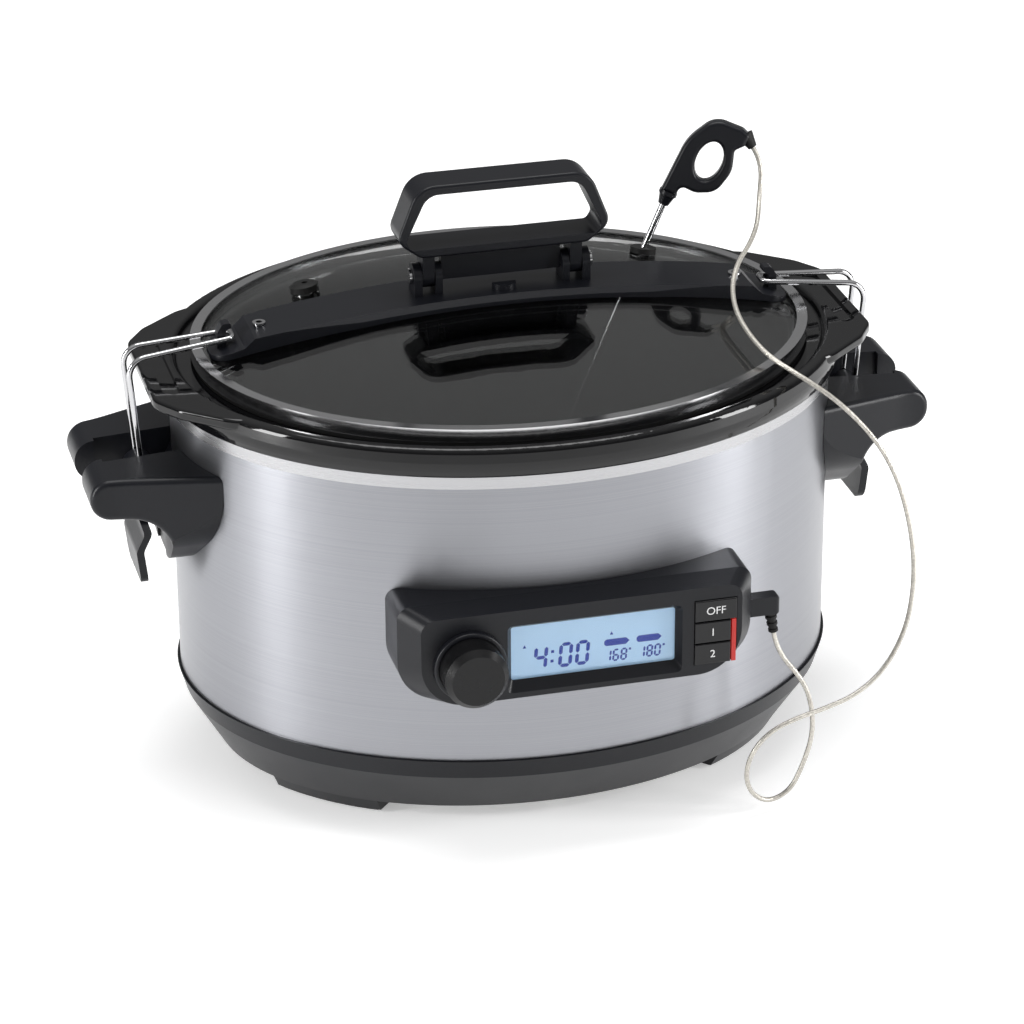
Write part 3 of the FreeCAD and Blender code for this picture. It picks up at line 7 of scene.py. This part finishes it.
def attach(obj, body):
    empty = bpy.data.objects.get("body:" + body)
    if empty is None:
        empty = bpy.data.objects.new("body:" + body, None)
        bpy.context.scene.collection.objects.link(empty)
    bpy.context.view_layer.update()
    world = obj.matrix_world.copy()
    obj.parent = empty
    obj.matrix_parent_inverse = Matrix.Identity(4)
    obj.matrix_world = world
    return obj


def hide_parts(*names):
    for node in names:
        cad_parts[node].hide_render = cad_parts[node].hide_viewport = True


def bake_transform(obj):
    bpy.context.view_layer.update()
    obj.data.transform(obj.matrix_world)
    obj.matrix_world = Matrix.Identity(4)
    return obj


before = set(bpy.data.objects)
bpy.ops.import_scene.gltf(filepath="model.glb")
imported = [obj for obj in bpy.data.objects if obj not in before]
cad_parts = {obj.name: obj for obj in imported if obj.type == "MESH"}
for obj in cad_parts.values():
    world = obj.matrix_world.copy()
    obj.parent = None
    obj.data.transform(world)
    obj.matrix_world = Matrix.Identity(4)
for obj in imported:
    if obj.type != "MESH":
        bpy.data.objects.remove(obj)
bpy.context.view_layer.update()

# Studio floor: a wide pale sweep under the object that keeps the object's soft shadow.
# It is plain matt paper with a very faint mottling, white to the eye and in metal and glass.
floor_width = 9
floor_glow = 0.36
seen_rays = ("Is Camera Ray", "Is Glossy Ray", "Is Transmission Ray")


class Socket:
    """An output of a node. Arithmetic on it adds Math nodes."""

    def __init__(self, nodes, link):
        self.nodes = nodes
        self.link = link

    def maths(self, operation, first, second):
        return self.nodes.node("ShaderNodeMath", {"operation": operation}, {0: first, 1: second})

    def __add__(self, other):
        return self.maths("ADD", self, other)

    def __radd__(self, other):
        return self.maths("ADD", other, self)

    def __mul__(self, other):
        return self.maths("MULTIPLY", self, other)

    def __rmul__(self, other):
        return self.maths("MULTIPLY", other, self)


class Nodes:
    """The nodes of one material, or of the room."""

    def __init__(self, tree):
        self.tree = tree

    def node(self, kind, settings, values, output=0):
        """Add a node with its settings, then its values or links, and give one of its outputs."""
        made = self.tree.nodes.new(kind)
        for setting, value in settings.items():
            setattr(made, setting, value)
        for name, value in values.items():
            self.fill(made.inputs[name], value)
        return Socket(self, made.outputs[output])

    def fill(self, place, value):
        """Link an input to another node's output, or give it a colour or a number."""
        if isinstance(value, Socket):
            self.tree.links.new(value.link, place)
        elif place.type == "RGBA":
            place.default_value = (*value, 1)
        else:
            place.default_value = value


class Finish(Nodes):
    """A material with one Principled shader, whose patterns follow the piece's own coordinates."""

    def __init__(self, name, **constants):
        self.material = bpy.data.materials.new(name)
        self.material.use_nodes = True
        super().__init__(self.material.node_tree)
        self.shader = self.tree.nodes["Principled BSDF"]
        self.place = self.node("ShaderNodeTexCoord", {}, {}, "Object")
        for constant, value in constants.items():
            self.feed(constant.replace("_", " "), value)

    def feed(self, name, value):
        self.fill(self.shader.inputs[name], value)

    def noise(self, scale, detail, stretch=(1, 1, 1)):
        moved = self.node("ShaderNodeMapping", {}, {"Vector": self.place, "Scale": stretch})
        return self.node("ShaderNodeTexNoise", {}, {"Vector": moved, "Scale": scale, "Detail": detail}, "Fac")

    def mix(self, factor, dark, light):
        colours = {"Factor": factor, "A": dark, "B": light}
        return self.node("ShaderNodeMix", {"data_type": "RGBA"}, colours, "Result")

    def bump(self, height, distance):
        raised = {"Height": height, "Distance": distance, "Strength": 1.0}
        self.feed("Normal", self.node("ShaderNodeBump", {}, raised, "Normal"))


bpy.ops.object.select_all(action="DESELECT")
bpy.ops.mesh.primitive_plane_add(size=floor_width)
floor = bpy.context.object
floor.name = "studio_floor"
paper = Finish("floor_paper", Roughness=0.9, Specular_IOR_Level=0.2, Emission_Strength=floor_glow)
paper.feed("Base Color", paper.mix(paper.noise(scale=6, detail=3), (0.89, 0.89, 0.89), (0.91, 0.91, 0.91)))
camera_ray, glossy_ray, clear_ray = [paper.node("ShaderNodeLightPath", {}, {}, ray) for ray in seen_rays]
paper.feed("Emission Color", paper.mix(camera_ray + glossy_ray + clear_ray, (0, 0, 0), (1, 1, 1)))
floor.data.materials.append(paper.material)

# Camera: a long lens at the photograph's angle, a little above the lid and to the left of the panel.
# Its place was fitted to the panel, the handles and the lid's strap.
camera_azimuth = -14.68
camera_elevation = 25.37
camera_roll = -0.34
camera_distance = 1.9
camera_aim = Vector((-0.0153, -0.0652, 0.1521))
camera_lens = 138.4
camera_sensor = 36
turn = (Matrix.Rotation(math.radians(camera_azimuth), 4, "Z")
        @ Matrix.Rotation(math.radians(90 - camera_elevation), 4, "X")
        @ Matrix.Rotation(math.radians(camera_roll), 4, "Z"))
lens = bpy.data.cameras.new("photo_camera")
lens.lens = camera_lens
lens.sensor_width = camera_sensor
camera = bpy.data.objects.new("photo_camera", lens)
camera.matrix_world = Matrix.Translation(camera_aim + turn.to_3x3() @ Vector((0, 0, camera_distance))) @ turn
bpy.context.scene.collection.objects.link(camera)
bpy.context.scene.camera = camera
bpy.context.scene.view_settings.view_transform = "Standard"

# Lamps: a big soft box over the object, a tall strip to the left and one to the right,
# and a room that is bright overhead and dim at its walls, so that black gloss stays black.
room_strength = 0.7
wall_level = 0.22
wall_top = 0.25


def soft_box(name, place, aim, width, height, watts):
    light = bpy.data.lights.new(name, "AREA")
    light.shape = "RECTANGLE"
    light.size = width
    light.size_y = height
    light.energy = watts
    lamp = bpy.data.objects.new(name, light)
    lamp.location = place
    lamp.rotation_euler = (Vector(aim) - Vector(place)).to_track_quat("-Z", "Y").to_euler()
    bpy.context.scene.collection.objects.link(lamp)


soft_box("top_box", place=(0.0, 0.1, 1.7), aim=(0, 0, 0.1), width=1.3, height=0.9, watts=17)
soft_box("left_strip", place=(-1.5, -0.3, 0.5), aim=(0, 0, 0.12), width=0.3, height=0.9, watts=16)
soft_box("right_strip", place=(1.4, -0.72, 0.5), aim=(0, 0, 0.12), width=0.34, height=0.9, watts=17)
room = bpy.data.worlds.new("studio_room")
room.use_nodes = True
bpy.context.scene.world = room
room_nodes = Nodes(room.node_tree)
direction = room_nodes.node("ShaderNodeTexCoord", {}, {}, "Generated")
upward = room_nodes.node("ShaderNodeSeparateXYZ", {}, {"Vector": direction}, "Z")
wall_to_ceiling = {"Value": upward, "From Min": wall_top, "From Max": 1.0,
                   "To Min": wall_level, "To Max": 1.0}
sky = room.node_tree.nodes["Background"]
room_nodes.fill(sky.inputs["Color"], room_nodes.node("ShaderNodeMapRange", {}, wall_to_ceiling))
room_nodes.fill(sky.inputs["Strength"], room_strength)

# Base ring: one deep black moulding that carries the body, with a fine moulded grain.
# Four short feet under it end in rubber pads, and a plated steel cover closes it from below,
# with the power board on its spacers inside.
grain_height = 0.00004


def paint(finish, *nodes):
    for node in nodes:
        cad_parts[node].data.materials.clear()
        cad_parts[node].data.materials.append(finish.material)


def moulded(name, colour, roughness, grain):
    """A moulding with a fine grain and a gloss that varies slowly by a tenth."""
    finish = Finish(name, Base_Color=colour, Specular_IOR_Level=0.26)
    finish.feed("Roughness", roughness - 0.05 + finish.noise(scale=40, detail=2) * 0.1)
    finish.bump(finish.noise(scale=grain, detail=4), grain_height)
    return finish


black_moulding = moulded("black_moulding", (0.0065, 0.007, 0.0095), roughness=0.34, grain=1400)
paint(black_moulding, "base_ring", "cord_gland")
soft_rubber = moulded("soft_rubber", (0.008, 0.008, 0.008), roughness=0.6, grain=900)
paint(soft_rubber, "rubber_feet")
zinc = Finish("zinc_plate", Base_Color=(0.52, 0.52, 0.5), Metallic=1.0)
zinc.feed("Roughness", 0.3 + zinc.noise(scale=120, detail=4) * 0.25)
paint(zinc, "bottom_plate", "base_screws", "board_spacers", "pot_sensor", "thermal_fuse", "handle_screws",
      "panel_screws", "probe_socket")
lacquer = Finish("board_lacquer", Roughness=0.4)
mottle = lacquer.noise(scale=300, detail=2)
lacquer.feed("Base Color", lacquer.mix(mottle, (0.02, 0.12, 0.05), (0.05, 0.2, 0.09)))
paint(lacquer, "power_board", "control_board", "tact_switches", "knob_encoder")

# Body wrap: a stainless sheet rolled to an oval and brushed along its length, so the grain runs level.
# The heating well hangs in it with its cloth-covered heater band, and the well's folded flange
# makes the bright band under the crock.
scratch_height = 0.00002
weave_height = 0.0002
steel = Finish("brushed_steel", Metallic=1.0, Anisotropic=0.7, Anisotropic_Rotation=0.25)
streak = steel.noise(scale=1.0, detail=4, stretch=(1.5, 1.5, 2200))
scratch = steel.noise(scale=1.0, detail=2, stretch=(14, 14, 4200))
steel.feed("Roughness", 0.28 + streak * 0.08 + scratch * 0.04)
steel.feed("Base Color", steel.mix(streak, (0.26, 0.264, 0.284), (0.36, 0.365, 0.388)))
steel.bump(scratch, scratch_height)
paint(steel, "steel_wrap")
flange_steel = Finish("rolled_flange_steel", Base_Color=(0.42, 0.42, 0.43), Metallic=1.0)
flange_steel.feed("Roughness", 0.2 + flange_steel.noise(scale=1.0, detail=3, stretch=(8, 8, 500)) * 0.14)
paint(flange_steel, "heating_well")
heater_cloth = Finish("heater_cloth", Base_Color=(0.7, 0.66, 0.55), Roughness=0.9)
heater_cloth.bump(heater_cloth.noise(scale=900, detail=2), weave_height)
paint(heater_cloth, "heater_band")

# Control panel: a black moulded housing screwed to the wrap, with a knob, a window and three gloss keys.
# A lit screen stands behind the clear window, and a red light strip runs beside the two lower keys.
paint(black_moulding, "control_housing", "knob_ring")
knob_black = moulded("knob_black", (0.005, 0.005, 0.0055), roughness=0.28, grain=1100)
paint(knob_black, "knob")
key_gloss = Finish("key_gloss", Base_Color=(0.004, 0.004, 0.005), Specular_IOR_Level=0.35)
key_gloss.feed("Roughness", 0.1 + key_gloss.noise(scale=80, detail=2) * 0.06)
paint(key_gloss, "button_top", "button_middle", "button_bottom")
red_light = Finish("red_light", Base_Color=(0.42, 0.012, 0.008), Emission_Color=(0.9, 0.02, 0.01),
                   Emission_Strength=0.12)
red_light.feed("Roughness", 0.2 + red_light.noise(scale=500, detail=2) * 0.1)
paint(red_light, "light_strip")
clear_window = Finish("clear_window", Base_Color=(1, 1, 1), Transmission_Weight=1.0, IOR=1.2)
clear_window.feed("Roughness", 0.01 + clear_window.noise(scale=200, detail=2) * 0.02)
paint(clear_window, "display_window")
lit_screen = Finish("lit_screen", Base_Color=(0.3, 0.43, 0.58), Roughness=0.4, Emission_Strength=0.55)
glow = lit_screen.noise(scale=1.0, detail=1, stretch=(8, 1, 14))
lit_screen.feed("Emission Color", lit_screen.mix(glow, (0.17, 0.3, 0.46), (0.4, 0.57, 0.7)))
paint(lit_screen, "lcd_module")

# Screen figures: dark liquid-crystal segments behind the window, a timer and two three-figure readings.
# Each figure has up to seven pointed bars that lean a little, and all lie on the screen's face.
# Sizes are in millimetres from the screen's lower left corner, and depths from the body's axis.
mm = 0.001
body_axis = Vector((0, 14.127, 0))
screen_corner = (-34.2, -146.52, 98.0)
figure_bars = {"0": "abcdef", "1": "bc", "4": "bcfg", "6": "acdefg", "8": "abcdefg"}
figure_lean = 0.08
bar_gap = 0.12
timer_figure = {"low": 2.8, "width": 6.8, "height": 13.0, "bar": 1.8}
timer_figures = (("4", 10.9), ("0", 23.1), ("0", 31.4))
timer_dots = ((19.6, 6.0), (19.9, 11.0))
timer_dot_width = 1.5
reading_figure = {"low": 2.5, "width": 3.3, "height": 6.5, "bar": 0.95}
readings = ((46.0, "168"), (62.7, "180"))
reading_pitch = 3.9
degree_right = 12.2
degree_low = 7.6
degree_width = 1.1
arrow_ends = ((46.0, 58.5), (62.0, 74.4))
arrow_low = 11.0
arrow_high = 14.5
arrow_corner = 1
pointer_places = ((6.0, 15.2), (48.7, 16.8))
pointer_width = 1.8


def bar_outline(along, low, high, at, half):
    """One pointed bar, level or upright, from low to high along its own direction."""
    ring = [(low, at), (low + half, at + half), (high - half, at + half),
            (high, at), (high - half, at - half), (low + half, at - half)]
    return ring if along == "level" else [(y, x) for x, y in ring]


def figure(sign, left, low, width, height, bar):
    half = bar / 2
    gap = bar * bar_gap
    inner = width - half
    middle = height / 2
    top = height - half
    across = (half + gap, inner - gap)
    lower = (half + gap, middle - gap)
    upper = (middle + gap, top - gap)
    bars = {"a": ("level", *across, top), "b": ("upright", *upper, inner), "c": ("upright", *lower, inner),
            "d": ("level", *across, half), "e": ("upright", *lower, half), "f": ("upright", *upper, half),
            "g": ("level", *across, middle)}
    outlines = []
    for name in figure_bars[sign]:
        ring = bar_outline(*bars[name], half)
        outlines.append([(left + x + y * figure_lean, low + y) for x, y in ring])
    return outlines


def dot(left, low, width):
    return [(left, low), (left + width, low), (left + width, low + width), (left, low + width)]


def arrow_plate(left, right):
    nose = (arrow_high - arrow_low) / 2
    return [(left + arrow_corner, arrow_low), (right - nose, arrow_low), (right, arrow_low + nose),
            (right - nose, arrow_high), (left + arrow_corner, arrow_high),
            (left, arrow_high - arrow_corner), (left, arrow_low + arrow_corner)]


def pointer(left, low):
    return [(left, low), (left + pointer_width, low), (left + pointer_width / 2, low + pointer_width)]


def place_of(x, y, z):
    return (Vector((x, y, z)) + body_axis) * mm


def select_only(piece):
    bpy.ops.object.select_all(action="DESELECT")
    piece.select_set(True)
    bpy.context.view_layer.objects.active = piece


def flat_mesh(piece, place):
    """Turn a flat text or curve upright, facing the front, with its place in its mesh."""
    select_only(piece)
    bpy.ops.object.convert(target="MESH")
    made = bpy.context.object
    made.rotation_euler = (math.pi / 2, 0, 0)
    made.location = place
    bpy.ops.object.transform_apply(location=True, rotation=True, scale=True)
    return made


figures = []
for sign, left in timer_figures:
    figures += figure(sign, left, **timer_figure)
figures += [dot(left, low, timer_dot_width) for left, low in timer_dots]
for start, signs in readings:
    for count, sign in enumerate(signs):
        figures += figure(sign, start + count * reading_pitch, **reading_figure)
    figures.append(dot(start + degree_right, degree_low, degree_width))
figures += [arrow_plate(left, right) for left, right in arrow_ends]
figures += [pointer(left, low) for left, low in pointer_places]
segments = bpy.data.curves.new("screen_figures", "CURVE")
segments.dimensions = "2D"
segments.fill_mode = "BOTH"
for outline in figures:
    ring = segments.splines.new("POLY")
    ring.points.add(len(outline) - 1)
    for corner, (x, y) in zip(ring.points, outline):
        corner.co = (x * mm, y * mm, 0, 1)
    ring.use_cyclic_u = True
drawn = bpy.data.objects.new("screen_figures", segments)
bpy.context.scene.collection.objects.link(drawn)
screen_figures = flat_mesh(drawn, place_of(*screen_corner))
ink = Finish("screen_ink", Roughness=0.5, Emission_Color=(0.004, 0.022, 0.2), Emission_Strength=1.0)
ink.feed("Base Color", ink.mix(ink.noise(scale=300, detail=2), (0.003, 0.007, 0.07), (0.005, 0.014, 0.11)))
screen_figures.data.materials.append(ink.material)
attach(screen_figures, "base")

# Key marks: thin white print on the three gloss keys, one short sign on each.
# Each mark lies on its key's face and goes in with it.
key_face = -152.92
mark_size = 5.6
key_marks = (("button_top", "OFF", 65.3, 122.0), ("button_middle", "1", 63.9, 110.6),
             ("button_bottom", "2", 63.9, 99.2))
white_print = Finish("white_print", Base_Color=(0.8, 0.8, 0.8))
white_print.feed("Roughness", 0.4 + white_print.noise(scale=400, detail=2) * 0.1)
for key, sign, x, z in key_marks:
    bpy.ops.object.select_all(action="DESELECT")
    bpy.ops.object.text_add()
    text = bpy.context.object
    text.data.body = sign
    text.data.size = mark_size * mm
    text.data.align_x = "CENTER"
    text.name = key + "_mark"
    mark = flat_mesh(text, place_of(x, key_face, z))
    mark.data.materials.append(white_print.material)
    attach(mark, key)

# Side handles: black mouldings screwed to the wrap, each with a paddle lever in a slot through its nose.
# A bright steel pin across the slot carries the lever and the latch wire.
paint(black_moulding, "handle_left", "handle_right", "latch_lever_left", "latch_lever_right")
bright_wire = Finish("bright_wire", Base_Color=(0.5, 0.5, 0.51), Metallic=1.0)
bright_wire.feed("Roughness", 0.07 + bright_wire.noise(scale=260, detail=3) * 0.08)
paint(bright_wire, "latch_pin_left", "latch_pin_right")

# Latch wires: spring-steel rod, bent to a long bail with an eye at the end of each leg and bright plated.
# The eyes turn on the latch pin, and the crossbar hooks on to the end of the lid's strap.
# Each corner of a leg has its place and the radius of its bend.
wire_radius = 1.5
wire_roundness = 5
eye_radius = 3.65
eye_segments = 40
eye_wire_segments = 16
pin_side = 183.0
pin_height = 161.5
leg_depth = 8.5
wire_leg = [((pin_side, leg_depth, pin_height + eye_radius), 0.0), ((187.5, leg_depth, 221.5), 9.0),
            ((134.8, 5.0, 226.6), 3.6)]
bend_steps = 8
smooth_angle = 50


def bent_line(corners):
    """Straight runs with a round bend of the given radius at each inner corner."""
    spots = [Vector(spot) for spot, radius in corners]
    line = [spots[0]]
    for before, here, after, (_, radius) in zip(spots, spots[1:], spots[2:], corners[1:]):
        back = (before - here).normalized()
        on = (after - here).normalized()
        half_turn = (math.pi - back.angle(on)) / 2
        reach = radius * math.tan(half_turn)
        centre = here + (back + on).normalized() * (radius / math.cos(half_turn))
        first = (here + back * reach - centre).normalized()
        last = (here + on * reach - centre).normalized()
        line += [centre + first.slerp(last, step / bend_steps) * radius for step in range(bend_steps + 1)]
    return line + [spots[-1]]


for side, name in ((1, "latch_wire_right"), (-1, "latch_wire_left")):
    front_leg = [((side * x, y, z), radius) for (x, y, z), radius in wire_leg]
    back_leg = [((x, -y, z), radius) for (x, y, z), radius in reversed(front_leg)]
    path = bent_line(front_leg + back_leg)
    bail = bpy.data.curves.new(name + "_bail", "CURVE")
    bail.dimensions = "3D"
    bail.bevel_depth = wire_radius * mm
    bail.bevel_resolution = wire_roundness
    bail.use_fill_caps = True
    run = bail.splines.new("POLY")
    run.points.add(len(path) - 1)
    for point, spot in zip(run.points, path):
        point.co = (*place_of(*spot), 1)
    drawn = bpy.data.objects.new(name + "_bail", bail)
    bpy.context.scene.collection.objects.link(drawn)
    select_only(drawn)
    bpy.ops.object.convert(target="MESH")
    latch_bail = bpy.context.object
    for leg_side in (-1, 1):
        bpy.ops.object.select_all(action="DESELECT")
        bpy.ops.mesh.primitive_torus_add(
            location=place_of(side * pin_side, leg_side * leg_depth, pin_height),
            rotation=(math.pi / 2, 0, 0),
            major_radius=eye_radius * mm, minor_radius=wire_radius * mm,
            major_segments=eye_segments, minor_segments=eye_wire_segments)
        latch_bail.select_set(True)
        bpy.context.view_layer.objects.active = latch_bail
        bpy.ops.object.join()
    select_only(latch_bail)
    bpy.ops.object.transform_apply(location=True, rotation=True, scale=True)
    bpy.ops.object.shade_smooth_by_angle(angle=math.radians(smooth_angle))
    latch_bail.data.materials.clear()
    latch_bail.data.materials.append(bright_wire.material)
    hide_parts(name)
    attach(latch_bail, name)

# Crock: cast stoneware in a thick black gloss glaze, which pools and thins slightly.
# It stands loose in the heating well and lifts out by the grips at its two ends.
glaze_ripple = 0.0003
glaze = Finish("black_glaze", Base_Color=(0.003, 0.003, 0.0035), Specular_IOR_Level=0.4)
pool = glaze.noise(scale=22, detail=3)
glaze.feed("Roughness", 0.03 + pool * 0.06)
glaze.bump(pool, glaze_ripple)
paint(glaze, "crock")

# Lid: clear domed glass in a bright steel rim with a rubber gasket, and a black strap riveted across it.
# The strap carries the folding handle on two steel pins, and two rubber grommets line the lid's holes.
clear_glass = Finish("clear_glass", Base_Color=(0.97, 0.985, 0.98), Transmission_Weight=1.0, IOR=1.45)
clear_glass.feed("Roughness", 0.005 + clear_glass.noise(scale=30, detail=2) * 0.01)
paint(clear_glass, "lid_glass")
rim_steel = Finish("rim_steel", Base_Color=(0.62, 0.62, 0.63), Metallic=1.0)
rim_steel.feed("Roughness", 0.1 + rim_steel.noise(scale=150, detail=3) * 0.1)
paint(rim_steel, "lid_rim", "strap_rivets", "handle_hinge_pins")
paint(soft_rubber, "lid_gasket", "vent_grommet", "probe_grommet")
paint(black_moulding, "lid_strap", "lid_handle")

# Probe: a moulded ring handle on a steel rod, with a rubber boot where the braided lead leaves it.
# The lead's other end has an angled plug with a steel pin and a ribbed rubber boot.
paint(rim_steel, "probe_rod", "plug_pin")
paint(black_moulding, "probe_handle", "plug_body")
paint(soft_rubber, "probe_boot", "plug_boot")

# Probe lead: a braided steel cord that hangs from the boot over the lid's right end, loops in front of
# the base and rises to the plug. It is drawn as three stretches of tube.
lead_width = 2.4
lead_roundness = 4
lead_steps = 10
braid_height = 0.0003
upper_route = [(143.09, 41.74, 280.65), (147.38, 39.22, 273.15), (143.8, 31.5, 256.8), (138.0, 16.0, 249.0),
               (129.2, 1.0, 245.0), (118.2, -14.0, 242.4), (110.6, -28.0, 236.5), (106.0, -48.0, 231.6),
               (106.6, -68.0, 226.8), (110.5, -88.0, 222.6), (122.0, -103.0, 217.2), (136.9, -112.0, 207.2),
               (144.7, -114.5, 198.95)]
hanging_route = [(144.7, -114.5, 198.95), (152.5, -117.0, 190.7), (163.0, -121.0, 173.7),
                 (170.0, -124.0, 152.8), (173.8, -127.0, 129.6), (173.4, -130.0, 109.3),
                 (169.0, -133.0, 89.5), (158.1, -136.0, 71.5), (142.6, -140.0, 61.5), (125.5, -143.5, 58.0),
                 (108.5, -147.0, 56.5), (95.0, -148.0, 51.5), (86.8, -147.0, 41.0), (84.6, -144.0, 28.0),
                 (88.5, -140.0, 14.5), (99.0, -136.5, 5.5), (105.0, -135.75, 7.5)]
plug_route = [(105.0, -135.75, 7.5), (111.0, -135.0, 9.5), (117.0, -135.5, 23.0), (121.5, -136.0, 39.0),
              (121.0, -136.0, 55.0), (116.5, -134.5, 70.0), (103.89, -130.0, 85.44), (101.98, -130.0, 96.27)]
braid = Finish("braided_lead", Roughness=0.4, Metallic=0.7)
weave = braid.noise(scale=900, detail=2)
braid.feed("Base Color", braid.mix(weave, (0.3, 0.28, 0.25), (0.8, 0.77, 0.7)))
braid.bump(weave, braid_height)


def lead_mesh(name, route, radius):
    """The mesh of a smooth curve along a route: a bare line, or a tube with a radius."""
    curve = bpy.data.curves.new(name, "CURVE")
    curve.dimensions = "3D"
    curve.bevel_depth = radius
    curve.bevel_resolution = lead_roundness
    curve.use_fill_caps = True
    curve.resolution_u = lead_steps
    line = curve.splines.new("NURBS")
    line.points.add(len(route) - 1)
    for point, spot in zip(line.points, route):
        point.co = (*place_of(*spot), 1)
    line.order_u = 3
    line.use_endpoint_u = True
    drawn = bpy.data.objects.new(name, curve)
    bpy.context.scene.collection.objects.link(drawn)
    made = bpy.data.meshes.new_from_object(drawn)
    bpy.data.objects.remove(drawn)
    return made


def lead(name, route):
    """A stretch of the lead, as a tube along its route."""
    path = [spot.co.copy() for spot in lead_mesh(name + "_line", route, 0).vertices]
    tube = bpy.data.objects.new(name, lead_mesh(name + "_tube", route, lead_width / 2 * mm))
    bpy.context.scene.collection.objects.link(tube)
    tube.data.materials.clear()
    tube.data.materials.append(braid.material)
    for face in tube.data.polygons:
        face.use_smooth = True
    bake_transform(tube)
    return tube


lead_upper = lead("lead_upper", upper_route)
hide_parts("probe_cord_upper")
lead_hanging = lead("lead_hanging", hanging_route)
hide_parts("probe_cord_lower")
lead("lead_plug", plug_route)
